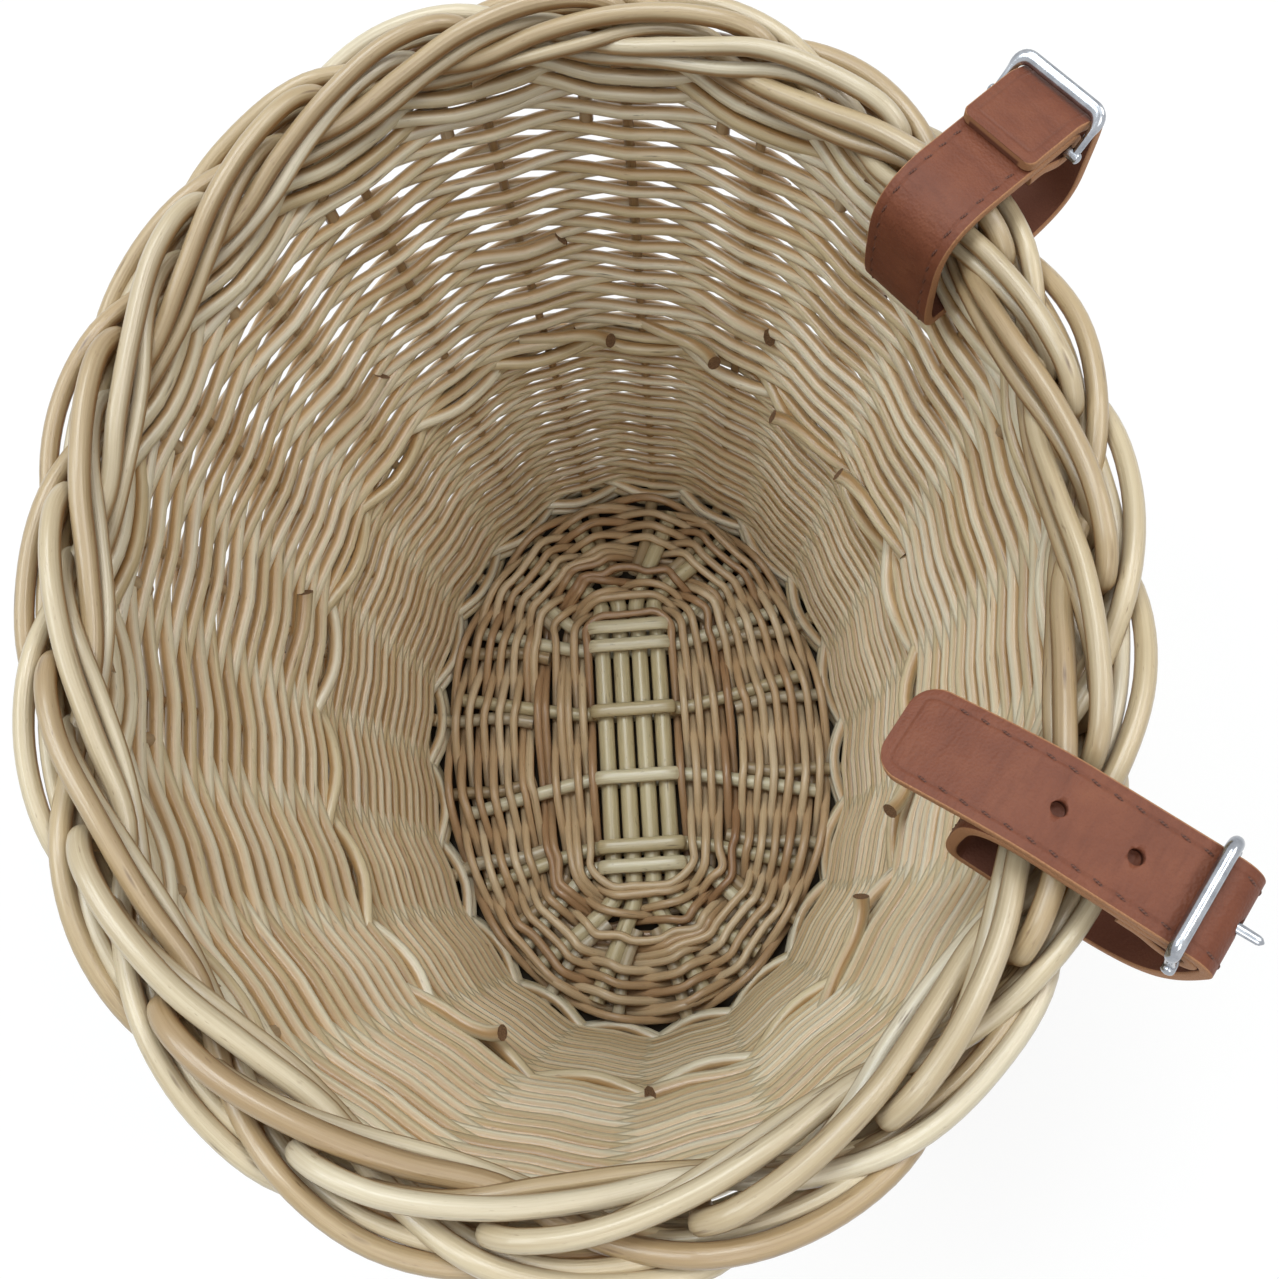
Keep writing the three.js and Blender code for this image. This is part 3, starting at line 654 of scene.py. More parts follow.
# Base sticks: the long sticks run through a split in every cross stick. Each half of a stick, from the open
# middle out to a stake, is also a rib of the base weave.
LONG_COUNT = 4
CROSS_PLACES = (13, 39, 46.5)
STICK_PITCH = STICK_DIAMETER + FIT
STICK_END_MARGIN = 11
STICK_SIDE_STEP = 8.6
SPLIT_HALF = LONG_COUNT * STICK_PITCH / 2 + FIT
SPLIT_THICKNESS = 2.6
LENS_REACH = SPLIT_HALF + 0.6
WINDOW_HALF_LENGTH = CROSS_PLACES[-1] + STICK_RADIUS + FIT
RIB_PAST_END = 6
LONG_STICK_RADIUS = 0.92 * STICK_RADIUS
CROSS_STICK_RADIUS = 0.76 * STICK_RADIUS
BUTT_APART = 5.4
BUTT_BESIDE = 26
ribs = {}
rib_sides = {}


def half_stick(stake, turn, inner, outward):
    """End, bend and inner point of half a stick, which is kept as a rib."""
    inner = np.array([*inner, STICK_HEIGHT])
    bend = inner + np.array([*outward, 0])
    normal = wall_normal(stake)
    sideways = np.array([-normal[1], normal[0], 0])
    end = wall_point(stake, STICK_HEIGHT, -STICK_END_MARGIN) + turn * STICK_SIDE_STEP * sideways
    number = round(stake) % STAKE_COUNT
    ribs[number] = np.array([inner, bend, end, end + RIB_PAST_END * normal])
    rib_sides[number] = turn
    return [end, bend, inner]


def rib_point(stake, from_wall):
    """Point of a rib at a distance from the wall."""
    corners = ribs[stake][::-1]
    lengths = distances(corners) + STICK_END_MARGIN - RIB_PAST_END
    return at_places(from_wall, lengths, corners)


def butt_point(stake, from_wall):
    """Point of a stake's butt, which comes closer to its rib on the way in."""
    if from_wall < STICK_END_MARGIN:
        return wall_point(stake, STICK_HEIGHT, -from_wall)
    along = rib_point(stake, from_wall - 1) - rib_point(stake, from_wall + 1)
    along = along / np.linalg.norm(along)
    sideways = np.array([-along[1], along[0], 0])
    beside = smooth_step(STICK_END_MARGIN, BUTT_BESIDE, from_wall)
    apart = STICK_SIDE_STEP + (BUTT_APART - STICK_SIDE_STEP) * beside
    return rib_point(stake, from_wall) - rib_sides[stake] * apart * sideways


def stick_object(name, rods, node):
    piece = bundle_object(name, rods, [stick_willow, pale_cut])
    finish_piece(piece, "basket", [node])


for stick in range(LONG_COUNT):
    from_middle = stick - (LONG_COUNT - 1) / 2
    x = from_middle * STICK_PITCH
    halves = []
    for sign in (-1, 1):
        stake = STAKE_COUNT / 2 - sign * STAKE_COUNT / 4 - 0.5 - sign * from_middle
        turn = -sign if x > 0 else sign
        halves.append(half_stick(stake, turn, (x, sign * WINDOW_HALF_LENGTH), (0, sign * STICK_DIAMETER)))
    rods = Bundle()
    route = smooth_curve(halves[0] + halves[1][::-1], 10)
    thick = LONG_STICK_RADIUS * (1 + wander_along(route, 0.012, 0.5))
    rods.add_rod(route, thick, 14, dice.random(), 0.5 + wander_along(route, 0.06, 0.4))
    stick_object(f"long_stick_{stick + 1}", rods, f"base_long_stick_{stick + 1}")

cross_stick = 0
for sign in (-1, 1):
    for place, reach in enumerate(CROSS_PLACES):
        cross_stick += 1
        y = sign * reach
        hue = dice.random()
        rods = Bundle()
        for side in (-1, 1):
            step = place if sign > 0 else -1 - place
            stake = step if side > 0 else STAKE_COUNT / 2 - 1 - step
            half = half_stick(stake, sign * side, (side * LENS_REACH, y), (side * STICK_RADIUS, 0))
            half.append(np.array([side * (LENS_REACH - 3), y, STICK_HEIGHT]))
            rods.add_rod(smooth_curve(half, 8), CROSS_STICK_RADIUS, 14, hue)
        # The split halves pass over and under the long sticks
        over = STICK_RADIUS + FIT + SPLIT_THICKNESS / 2
        waist = STICK_RADIUS - SPLIT_THICKNESS / 2
        for level in (-1, 1):
            corners = [(LENS_REACH + 2, 0.4 * waist), (LENS_REACH, waist)]
            corners = corners + [(SPLIT_HALF, 0.93 * over), (0, over)]
            corners = corners + [(-x, z) for x, z in corners[-2::-1]]
            strip = smooth_curve([(x, y, STICK_HEIGHT + level * z) for x, z in corners], 8)
            rods.add_rod(strip, CROSS_STICK_RADIUS, 14, hue, flat=SPLIT_THICKNESS / (2 * CROSS_STICK_RADIUS))
        stick_object(f"cross_stick_{cross_stick}", rods, f"base_cross_stick_{cross_stick}")

# Side stakes: from the base up through the wall, then laid over into the border.
# The turns are age in stake spacings, then outward and up in stake diameters, as in the source.
border_turns = [
    (0, 0, 0.6), (0.15, -0.05, 1.35), (0.5, -0.4, 1.68), (1, -1.05, 1.45),
    (1.5, -1.53, 0.8), (2, -1.5, 0), (2.5, 0, -0.32), (3, 1.05, 0.48),
    (3.5, 1.6, 0.16), (4, 1.45, -0.56), (4.5, 0, -1.45), (5, -1.3, -1.3),
]

# A thinner by-stake stands beside each stake and fills the border under and between the thick rods
by_stake_turns = [
    (0.3, 0, -0.9), (0.45, -0.2, 0.3), (0.8, -0.9, 0.7), (1.25, -1.75, 0.35),
    (1.75, -1.95, -0.3), (2.25, -1.2, -0.95), (2.75, 0.25, -0.75), (3.25, 0.8, -0.05),
    (3.75, 0.9, -0.3), (4.25, 0.75, -1), (4.65, 0, -1.9),
]
BY_STAKE_DIAMETER = 4
BORDER_STRAY = 0.13
PRESSED_IN = 0.4
TAPER_FROM = 0.45
WEAVE_TOP = 200
BEND_DARKER = 0.16
STAKE_HEIGHTS = (FOOT_HEIGHT, 60, 110, 160, 205, RIM_HEIGHT)
BY_STAKE_PLACE = 0.3
BY_STAKE_START = 190


def laid_over(stake, turns):
    points = []
    for age, outward, up in turns:
        stray = BORDER_STRAY * min(1, age)
        point = wall_point(stake + age, RIM_HEIGHT, (outward + dice.uniform(-stray, stray)) * STAKE_DIAMETER)
        point[2] = RIM_HEIGHT + (up + dice.uniform(-stray, stray)) * STAKE_DIAMETER
        points.append(point)
    return points


def stake_route(stake):
    bend = 0.5 * STAKE_DIAMETER
    points = [butt_point(stake, from_wall) for from_wall in (STAKE_BUTT, BUTT_BESIDE, STICK_END_MARGIN)]
    points.append(wall_point(stake, STICK_HEIGHT, -bend))
    points.append(wall_point(stake, STICK_HEIGHT + bend))
    for height in STAKE_HEIGHTS:
        points.append(wall_point(stake, height))
    return points + laid_over(stake, border_turns)


for stake in range(STAKE_COUNT):
    route = smooth_curve(stake_route(stake), 6)
    share = np.linspace(0, 1, len(route))
    taper = np.clip((share - TAPER_FROM) / (1 - TAPER_FROM), 0, 1)
    radius = (STAKE_RADIUS + (STAKE_TIP / 2 - STAKE_RADIUS) * taper) * dice.uniform(0.9, 1.02)
    height = route[:, 2]
    in_weave = smooth_step(FOOT_HEIGHT, 2 * FOOT_HEIGHT, height) * smooth_step(RIM_HEIGHT, WEAVE_TOP, height)
    radius = radius * (1 - PRESSED_IN * in_weave)
    bent_over = np.exp(-((height - RIM_HEIGHT - STAKE_DIAMETER) / STAKE_DIAMETER) ** 2) * (taper < 0.5)
    shade = 0.52 - BEND_DARKER * bent_over + wander(share, 0.05, 0.4)
    rod = Bundle()
    rod.add_rod(route, radius, 14, dice.random(), shade, slant=(0, 1.2))
    by_foot = wall_point(stake + BY_STAKE_PLACE, BY_STAKE_START)
    by_route = smooth_curve([by_foot, *laid_over(stake, by_stake_turns)], 6)
    thin = BY_STAKE_DIAMETER / 2 * np.linspace(1, 0.8, len(by_route))
    rod.add_rod(by_route, thin, 10, dice.random(), 0.42 + wander_along(by_route, 0.06, 0.4))
    number = f"{stake + 1:02d}"
    piece = bundle_object(f"stake_rod_{number}", rod, [pale_willow, pale_cut])
    finish_piece(piece, "basket", [f"side_stake_{number}"])

# Base weave: fine browner rods over and under the ribs. Ribs that still lie close together are passed as one,
# and near the wall a rod also passes the stakes' butts.
BASE_ROWS = 20
BASE_ROD = 3.3
BASE_STRAY = 0.25
CLOSE_RIBS = 11


def row_spots(share):
    """Places and rib radii that a row passes, in groups that it passes on one side."""
    groups = []
    for stake in range(STAKE_COUNT):
        corners = ribs[stake]
        lengths = distances(corners)
        spot = at_places(share * lengths[-1], lengths, corners)
        from_wall = STICK_END_MARGIN - RIB_PAST_END + (1 - share) * lengths[-1]
        normal = wall_normal(stake)
        spots = []
        if from_wall > STICK_END_MARGIN:
            spots.append((spot, CROSS_STICK_RADIUS))
        if from_wall < STAKE_BUTT:
            spots.append((butt_point(stake, from_wall), STAKE_RADIUS))
        foot = wall_point(stake, STICK_HEIGHT)
        along_wall = [-normal[1], normal[0], 0]
        spots.sort(key=lambda item: np.dot(item[0] - foot, along_wall))
        for item in spots:
            if groups and np.linalg.norm(groups[-1][-1][0] - item[0]) < CLOSE_RIBS:
                groups[-1].append(item)
            else:
                groups.append([item])
    if np.linalg.norm(groups[0][0][0] - groups[-1][-1][0]) < CLOSE_RIBS:
        groups[0] = groups.pop() + groups[0]
    return groups


base = Bundle()
for row in range(BASE_ROWS):
    groups = row_spots((row + 0.4) / BASE_ROWS)
    start = 2 * dice.randrange(len(groups) // 2) + row % 2
    groups = groups[start:] + groups[:start + 1]
    points = []
    for number, group in enumerate(groups):
        level = 1 if number % 2 else -1
        for spot, rib_radius in group:
            lift = level * (rib_radius + BASE_ROD / 2)
            stray = [dice.uniform(-BASE_STRAY, BASE_STRAY) for axis in range(2)]
            points.append(spot + np.array([*stray, lift]))
    route = smooth_curve(points, 7)
    thick = BASE_ROD / 2 * (1 + wander_along(route, 0.06, 0.3))
    base.add_rod(route, thick, 7, dice.random(), 0.5 + wander_along(route, 0.1, 5, 20))
base_piece = bundle_object("base_weave_rods", base, [brown_willow, dark_cut])
finish_piece(base_piece, "basket", ["base_weave"])

# Straps. A strap is drawn in its side view, outward and up from the wall line at the rim.
RIGHT_PLACE = 0.39
RIGHT_YAW = -12
LEFT_PLACE = 0.45
LEFT_YAW = 10
STRAP_WIDTH = 21.4
STRAP_THICKNESS = 2.6
HALF_STRAP = STRAP_THICKNESS / 2
RIGHT_TIP_RADIUS = 6
LEFT_TIP_RADIUS = 2
FLAP_LENGTH = 12
OVER_BORDER = 13.336
INSIDE_REACH = -17.92
SLOT_CENTRE = -22.04
SLOT_INNER = -13.2
SLOT_OUTER = 6.0
FOLD_RADIUS = STRAP_THICKNESS + FIT
BAR_HEIGHT = OVER_BORDER - FOLD_RADIUS
WRAP_RADIUS = 2 * FOLD_RADIUS
WRAP_TOP = BAR_HEIGHT + WRAP_RADIUS
RIGHT_BAR = 25.5
RIGHT_FRAME_TILT = 109
RIGHT_PRONG_TILT = 4
TAIL_REACH = -40
TAIL_DROP = 9
HOLE_REACH = 9.6
HOLE_SPACING = 16
HOLE_DIAMETER = 4
TAIL_HOLE = 3.3
LEFT_BAR = 21
LEFT_FRAME_TILT = 45
LEFT_PRONG_TILT = -88
LEFT_TIP = 7
STITCHES_END = 22
BUCKLE_LENGTH = 10
FRONT_WIDTH = 3.4
SIDE_WIDTH = 2.0
BUCKLE_THICKNESS = 2.2
RIGHT_FRONT_EXTRA = 0.8
BAR_DIAMETER = 2.6
BAR_KNOB = 0.9
BUCKLE_CORNER = 3.0
BOW_PAST_BAR = 0.6
PRONG_WIDTH = 2.6
PRONG_THICKNESS = 1.4


class StrapFrame:
    """A strap's own axes: outward from the wall, along the rim and up."""

    def __init__(self, side, place, yaw):
        angle = side * stake_angle(1 + place)
        self.origin = np.array([RIM_HALF_WIDTH * np.cos(angle), RIM_HALF_LENGTH * np.sin(angle), RIM_HEIGHT])
        turn = math.atan2(np.sin(angle) / RIM_HALF_LENGTH, np.cos(angle) / RIM_HALF_WIDTH) + math.radians(yaw)
        outward = [math.cos(turn), math.sin(turn), 0]
        along_rim = [-math.sin(turn), math.cos(turn), 0]
        self.axes = np.array([outward, along_rim, [0, 0, 1]])

    def place(self, points):
        return self.origin + np.asarray(points, float) @ self.axes


class SidePath:
    def __init__(self, x, z):
        self.points = [np.array([x, z], float)]

    def line(self, x, z):
        self.points.append(np.array([x, z], float))

    def bezier(self, first, second, last):
        t = np.linspace(0, 1, 80)[1:, None]
        start, first, second, last = (np.array(p, float) for p in (self.points[-1], first, second, last))
        curve = (1 - t) ** 3 * start + 3 * (1 - t) ** 2 * t * first
        curve = curve + 3 * (1 - t) * t * t * second + t ** 3 * last
        self.points.extend(curve)

    def arc(self, x, z, radius, start, end):
        turns = np.radians(np.linspace(start, end, 60))
        self.points.extend(np.stack([x + radius * np.cos(turns), z + radius * np.sin(turns)], -1))

    def rows(self, step, tip_radius):
        """Points at even steps, closer together in a rounded tip, and their distances."""
        points = np.array(self.points)
        lengths = distances(points)
        total = lengths[-1]
        places = np.linspace(0, total, int(total / step) + 1)
        if tip_radius:
            tip = tip_radius * np.linspace(1, 0, 14) ** 2
            places = np.concatenate([places[places < total - tip_radius - step / 2], total - tip])
        return at_places(places, lengths, points), places


def folded_end(bar):
    """Side path of the flap under the strap and its turn up round the buckle's bar."""
    flap = OVER_BORDER - STRAP_THICKNESS - FIT
    foot = BAR_HEIGHT - FOLD_RADIUS
    path = SidePath(bar - FLAP_LENGTH, flap)
    path.line(bar - 0.75 * FLAP_LENGTH, flap)
    path.bezier((bar - 0.45 * FLAP_LENGTH, flap), (bar - 0.3 * FLAP_LENGTH, foot), (bar, foot))
    path.arc(bar, BAR_HEIGHT, FOLD_RADIUS, -90, 90)
    return path


def over_and_through(path):
    path.line(0.2 * INSIDE_REACH, OVER_BORDER)
    path.bezier((0.7 * INSIDE_REACH, OVER_BORDER), (INSIDE_REACH, 0.75 * OVER_BORDER), (INSIDE_REACH, 0))
    path.bezier(
        (INSIDE_REACH, 0.85 * SLOT_CENTRE), (1.25 * SLOT_INNER, SLOT_CENTRE), (SLOT_INNER, SLOT_CENTRE)
    )
    path.line(SLOT_OUTER, SLOT_CENTRE)


EDGE_ROUND = 0.5
STRAP_STEP = 0.8
STITCH_PITCH = 4.6
STITCH_LENGTH = 2.6
STITCH_RADIUS = 0.3
STITCH_DEPTH = 0.46
STITCH_RISE = 0.42
STITCH_POINTS = 9
STITCH_SLANT = 0.25
STITCH_STRAY = 0.12


def strap_section():
    """Points round the section: across, towards the finished face, and the number of the face."""
    flat_half = STRAP_WIDTH / 2 - EDGE_ROUND
    top = HALF_STRAP - EDGE_ROUND
    columns = np.linspace(-flat_half, flat_half, 15)
    corner = np.radians([65, 40, 15])
    section = [(across, HALF_STRAP, 1.0) for across in columns]
    edge = [
        (flat_half + EDGE_ROUND * math.cos(turn), top + EDGE_ROUND * math.sin(turn), 0.5) for turn in corner
    ]
    edge = edge + [(across, -out, face) for across, out, face in edge[::-1]]
    section = section + edge
    section = section + [(across, -HALF_STRAP, 0.0) for across in columns[::-1]]
    return np.array(section + [(-across, out, face) for across, out, face in edge[::-1]])


def punch(piece, strap_frame, holes):
    """Cut round holes through a piece. A hole has two points of its axis and its diameter."""
    cutters = []
    for first, last, diameter in holes:
        cutter = Bundle()
        axis = strap_frame.place(np.array([first, last], float))
        cutter.add_rod(axis, diameter / 2, 28, 0.6)
        cutters.append(bundle_object("cutter", cutter, [leather]))
        modifier = piece.modifiers.new("hole", "BOOLEAN")
        modifier.object = cutters[-1]
    depsgraph = bpy.context.evaluated_depsgraph_get()
    punched = bpy.data.meshes.new_from_object(piece.evaluated_get(depsgraph))
    piece.modifiers.clear()
    piece.data = punched
    for cutter in cutters:
        bpy.data.objects.remove(cutter)


def strap_object(name, strap_frame, path, tip_radius, holes, stitch_from, stitch_to):
    """Strip of leather along a side path, with punched holes and stitches on its finished face."""
    bundle = Bundle()
    centres, places = path.rows(STRAP_STEP, tip_radius)
    total = places[-1]
    along = unit_rows(np.gradient(centres, axis=0))
    finished = np.stack([along[:, 1], -along[:, 0]], -1)
    to_tip = np.clip(tip_radius - (total - places), 0, tip_radius)
    inset = tip_radius - np.sqrt(tip_radius ** 2 - to_tip ** 2)
    width = 1 - 2 * inset / STRAP_WIDTH
    section = strap_section()
    across = section[None, :, 0] * width[:, None]
    out = np.broadcast_to(section[None, :, 1], across.shape)
    rings = np.stack([
        centres[:, None, 0] + finished[:, None, 0] * out,
        across,
        centres[:, None, 1] + finished[:, None, 1] * out,
    ], -1)
    edge = STRAP_WIDTH / 2 * width[:, None] - np.abs(across)
    if tip_radius:
        edge = np.minimum(edge, (total - places)[:, None])
    colours = np.stack([
        np.clip(edge / EDGE_REACH, 0, 1),
        np.broadcast_to(section[None, :, 2], across.shape),
        np.zeros(across.shape),
        np.ones(across.shape),
    ], -1)
    outline = np.vstack([section[:, :2], section[:1, :2]])
    bundle.add_tube(strap_frame.place(rings), colours, places * MM, distances(outline) * MM)
    raw = np.tile([1.0, 0.5, 0.0, 1.0], (len(section), 1))
    bundle.add_cap(strap_frame.place(rings[0]), raw, True, 0)
    bundle.add_cap(strap_frame.place(rings[-1]), raw, False, 0)
    piece = bundle_object(name, bundle, [leather])
    punch(piece, strap_frame, holes)
    # A stitch dips into the leather at both ends
    stitches = Bundle()
    count = int((stitch_to - stitch_from) / STITCH_PITCH)
    for stitch in range(count):
        middle = stitch_from + STITCH_PITCH * (stitch + 0.5)
        spots = np.linspace(middle - STITCH_LENGTH / 2, middle + STITCH_LENGTH / 2, STITCH_POINTS)
        rise = STITCH_RISE * np.sin(np.linspace(0, np.pi, STITCH_POINTS)) ** 0.6
        height = HALF_STRAP - STITCH_DEPTH + rise
        centre = at_places(spots, places, centres)
        normal = at_places(spots, places, finished)
        for row in (-1, 1):
            shift = np.linspace(-STITCH_SLANT, STITCH_SLANT, STITCH_POINTS)
            shift = shift + dice.uniform(-STITCH_STRAY, STITCH_STRAY)
            line = np.stack([
                centre[:, 0] + normal[:, 0] * height,
                row * (STRAP_WIDTH / 2 - GROOVE_PLACE) + shift,
                centre[:, 1] + normal[:, 1] * height,
            ], -1)
            stitches.add_rod(strap_frame.place(line), STITCH_RADIUS, 6, dice.random(), slots=(0, 0))
    sewn = bundle_object("stitches", stitches, [thread])
    with bpy.context.temp_override(active_object=piece, selected_editable_objects=[piece, sewn]):
        bpy.ops.object.join()
    return piece


right_frame = StrapFrame(-1, RIGHT_PLACE, RIGHT_YAW)
left_frame = StrapFrame(1, LEFT_PLACE, LEFT_YAW)
BAR_EYE = BAR_DIAMETER / 2 + FIT


def prong_slot(bar):
    """Hole along the bar, where the fold leaves room for the prong's eye."""
    half = PRONG_WIDTH / 2 + 2 * FIT
    return [bar, -half, BAR_HEIGHT], [bar, half, BAR_HEIGHT], 2 * (FOLD_RADIUS + HALF_STRAP) + FIT


# Right strap: it comes up outside, over the fold and under the front of the buckle, which hides the seam
# between the loop and the tail
tail_start = RIGHT_BAR + BUCKLE_LENGTH * math.cos(math.radians(RIGHT_FRAME_TILT))
right_path = folded_end(RIGHT_BAR)
over_and_through(right_path)
outside = RIGHT_BAR + WRAP_RADIUS
right_path.bezier((0.9 * outside, SLOT_CENTRE), (outside, 0.7 * SLOT_CENTRE), (outside, BAR_HEIGHT))
right_path.arc(RIGHT_BAR, BAR_HEIGHT, WRAP_RADIUS, 0, 90)
right_path.line(tail_start, WRAP_TOP)
prong_height = BAR_HEIGHT + BAR_EYE + PRONG_THICKNESS / 2
prong_hole = ([outside - 3, 0, prong_height], [outside + 3, 0, prong_height + 0.4], HOLE_DIAMETER)
right_length = distances(np.array(right_path.points))[-1]
right_piece = strap_object(
    "right_strap", right_frame, right_path, 0, [prong_slot(RIGHT_BAR), prong_hole],
    1.5 * FLAP_LENGTH, right_length
)
finish_piece(right_piece, "basket", ["right_strap_loop"])

tail_path = SidePath(tail_start, WRAP_TOP)
level = 0.2 * INSIDE_REACH
tail_path.line(level, WRAP_TOP)
tail_path.bezier(
    (0.7 * level + 0.3 * TAIL_REACH, WRAP_TOP),
    (0.4 * level + 0.6 * TAIL_REACH, WRAP_TOP - 0.5 * TAIL_DROP),
    (TAIL_REACH, WRAP_TOP - TAIL_DROP),
)
tail_length = distances(np.array(tail_path.points))[-1]
tail_holes = [
    ([reach, 0, WRAP_TOP + 4], [reach, 0, WRAP_TOP - 4], TAIL_HOLE)
    for reach in (HOLE_REACH, HOLE_REACH - HOLE_SPACING)
]
tail_piece = strap_object(
    "right_tail", right_frame, tail_path, RIGHT_TIP_RADIUS, tail_holes, 0, tail_length - RIGHT_TIP_RADIUS
)
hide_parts("right_strap_tail")
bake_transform(tail_piece)

# Left strap: the line under the buckle's front just clears the inner edge of the front bar
front_edge = np.array([BUCKLE_LENGTH - FRONT_WIDTH / 2, -BUCKLE_THICKNESS / 2])
edge_clearance = WRAP_RADIUS + HALF_STRAP + FIT
wrap_turn = math.atan2(front_edge[1], front_edge[0]) + math.acos(edge_clearance / np.linalg.norm(front_edge))
wrap_start = wrap_turn + math.radians(LEFT_FRAME_TILT)
wrap_down = np.array([math.sin(wrap_start), -math.cos(wrap_start)])
wrap_out = np.array([math.cos(wrap_start), math.sin(wrap_start)])
over_fold = np.array([LEFT_BAR, BAR_HEIGHT]) + WRAP_RADIUS * wrap_out
under_front = over_fold + 0.7 * BUCKLE_LENGTH * wrap_down
left_path = folded_end(LEFT_BAR)
over_and_through(left_path)
outside = under_front[0] + STRAP_THICKNESS
left_path.bezier((0.9 * outside, SLOT_CENTRE), (outside, 0.8 * SLOT_CENTRE), (outside, 0.3 * SLOT_CENTRE))
left_path.bezier((outside, 0.1 * OVER_BORDER), under_front + 0.4 * BUCKLE_LENGTH * wrap_down, under_front)
left_path.line(*over_fold)
left_path.arc(LEFT_BAR, BAR_HEIGHT, WRAP_RADIUS, math.degrees(wrap_start), 90)
left_path.line(LEFT_TIP, WRAP_TOP)
left_length = distances(np.array(left_path.points))[-1]
left_piece = strap_object(
    "left_strap_leather", left_frame, left_path, LEFT_TIP_RADIUS, [prong_slot(LEFT_BAR)],
    1.5 * FLAP_LENGTH, left_length - STITCHES_END
)
finish_piece(left_piece, "basket", ["left_strap"])


# Buckles: a bow with a round bar through its ends, and a prong whose eye turns on the bar. The right bow's
# front is fuller on the side away from the strap.
def tilted(strap_frame, bar, tilt, points):
    """Points along the buckle, along its bar and up from its plane, put at the bar's place and tilt."""
    points = np.asarray(points, float)
    turn = math.radians(tilt)
    x = bar + points[..., 0] * math.cos(turn) - points[..., 2] * math.sin(turn)
    z = BAR_HEIGHT + points[..., 0] * math.sin(turn) + points[..., 2] * math.cos(turn)
    return strap_frame.place(np.stack([x, points[..., 1], z], -1))


def corner_arc(x, y, radius, start, end, steps):
    turns = np.radians(np.linspace(start, end, steps))
    return [(x + radius * math.cos(turn), y + radius * math.sin(turn), 0) for turn in turns]


def buckle_piece(side, shown_as, part, metal):
    piece = bundle_object(f"{side}_buckle_{shown_as}", metal, [chrome])
    finish_piece(piece, f"{side}_{part}", [f"{side}_buckle_{part}"])


def buckle_frame(side, put, front_extra):
    half_inner = STRAP_WIDTH / 2 + 2 * FIT
    half = half_inner + SIDE_WIDTH / 2
    straight = BUCKLE_LENGTH - BUCKLE_CORNER
    side_end = half - BUCKLE_CORNER
    path = [(x, -half, 0) for x in np.linspace(-BOW_PAST_BAR, straight, 8)[:-1]]
    path = path + corner_arc(straight, -side_end, BUCKLE_CORNER, -90, 0, 9)
    path = path + [(BUCKLE_LENGTH, y, 0) for y in np.linspace(-side_end, side_end, 16)[1:-1]]
    path = path + corner_arc(straight, side_end, BUCKLE_CORNER, 0, 90, 9)
    path = np.array(path + [(x, half, 0) for x in np.linspace(straight, -BOW_PAST_BAR, 8)[1:]])
    front_from = BUCKLE_LENGTH - 1.6 * BUCKLE_CORNER
    to_front = smooth_step(front_from, BUCKLE_LENGTH - 0.15 * BUCKLE_CORNER, path[:, 0])
    half_width = SIDE_WIDTH / 2 + (FRONT_WIDTH - SIDE_WIDTH) / 2 * to_front
    ends = np.minimum(1, np.sqrt(np.clip((path[:, 0] + 0.75) / 1.2, 0.05, 1)))
    half_width = half_width * ends
    up = put([0, 0, 1]) - put([0, 0, 0])
    thick = (BUCKLE_THICKNESS + front_extra * to_front) / 2 * ends
    path[:, 2] = -front_extra / 2 * to_front
    metal = Bundle()
    metal.add_rod(put(path), half_width, 18, 0.5, flat=thick / half_width, side=up, slots=(0, 0))
    knob = half_inner + SIDE_WIDTH + BAR_KNOB
    round_end = BAR_KNOB * np.linspace(0, 1, 7) ** 2
    places = np.concatenate([round_end - knob, knob - round_end[::-1]])
    from_end = np.clip((knob - np.abs(places)) / BAR_KNOB, 0, 1)
    bar_radius = BAR_DIAMETER / 2 * np.sqrt(np.clip(1 - (1 - from_end) ** 2, 0.002, 1))
    bar_line = put([(0, y, 0) for y in places])
    metal.add_rod(bar_line, bar_radius, 18, 0.5, side=up, slots=(0, 0))
    buckle_piece(side, "bow", "frame", metal)


def buckle_prong(side, put, along_bar):
    middle = BAR_EYE + PRONG_THICKNESS / 2
    metal = Bundle()
    turns = np.linspace(0, 2 * np.pi, 28, endpoint=False)
    eye = [(middle * math.cos(turn), 0, middle * math.sin(turn)) for turn in turns]
    flat = PRONG_WIDTH / PRONG_THICKNESS
    metal.add_rod(
        put(eye), PRONG_THICKNESS / 2, 12, 0.5, flat=flat, side=along_bar, slots=(0, 0), closed=True
    )
    tip = BUCKLE_LENGTH + FRONT_WIDTH / 2
    rest = BUCKLE_THICKNESS / 2 + FIT + PRONG_THICKNESS / 2
    corners = [(-0.6, 0, middle), (0.25 * tip, 0, middle)]
    corners = corners + [(0.6 * tip, 0, 0.5 * (middle + rest)), (tip - 0.2, 0, rest)]
    line = smooth_curve(corners, 8)
    to_tip = np.clip((line[:, 0] - tip + 1.6) / 1.4, 0, 1)
    end_round = np.sqrt(np.clip(1 - to_tip ** 2, 0.03, 1))
    taper = 1 - 0.25 * np.clip(line[:, 0] / tip, 0, 1)
    half_thick = PRONG_THICKNESS / 2 * taper * end_round
    metal.add_rod(put(line), half_thick, 14, 0.5, flat=flat, side=along_bar, slots=(0, 0))
    buckle_piece(side, "pin", "prong", metal)


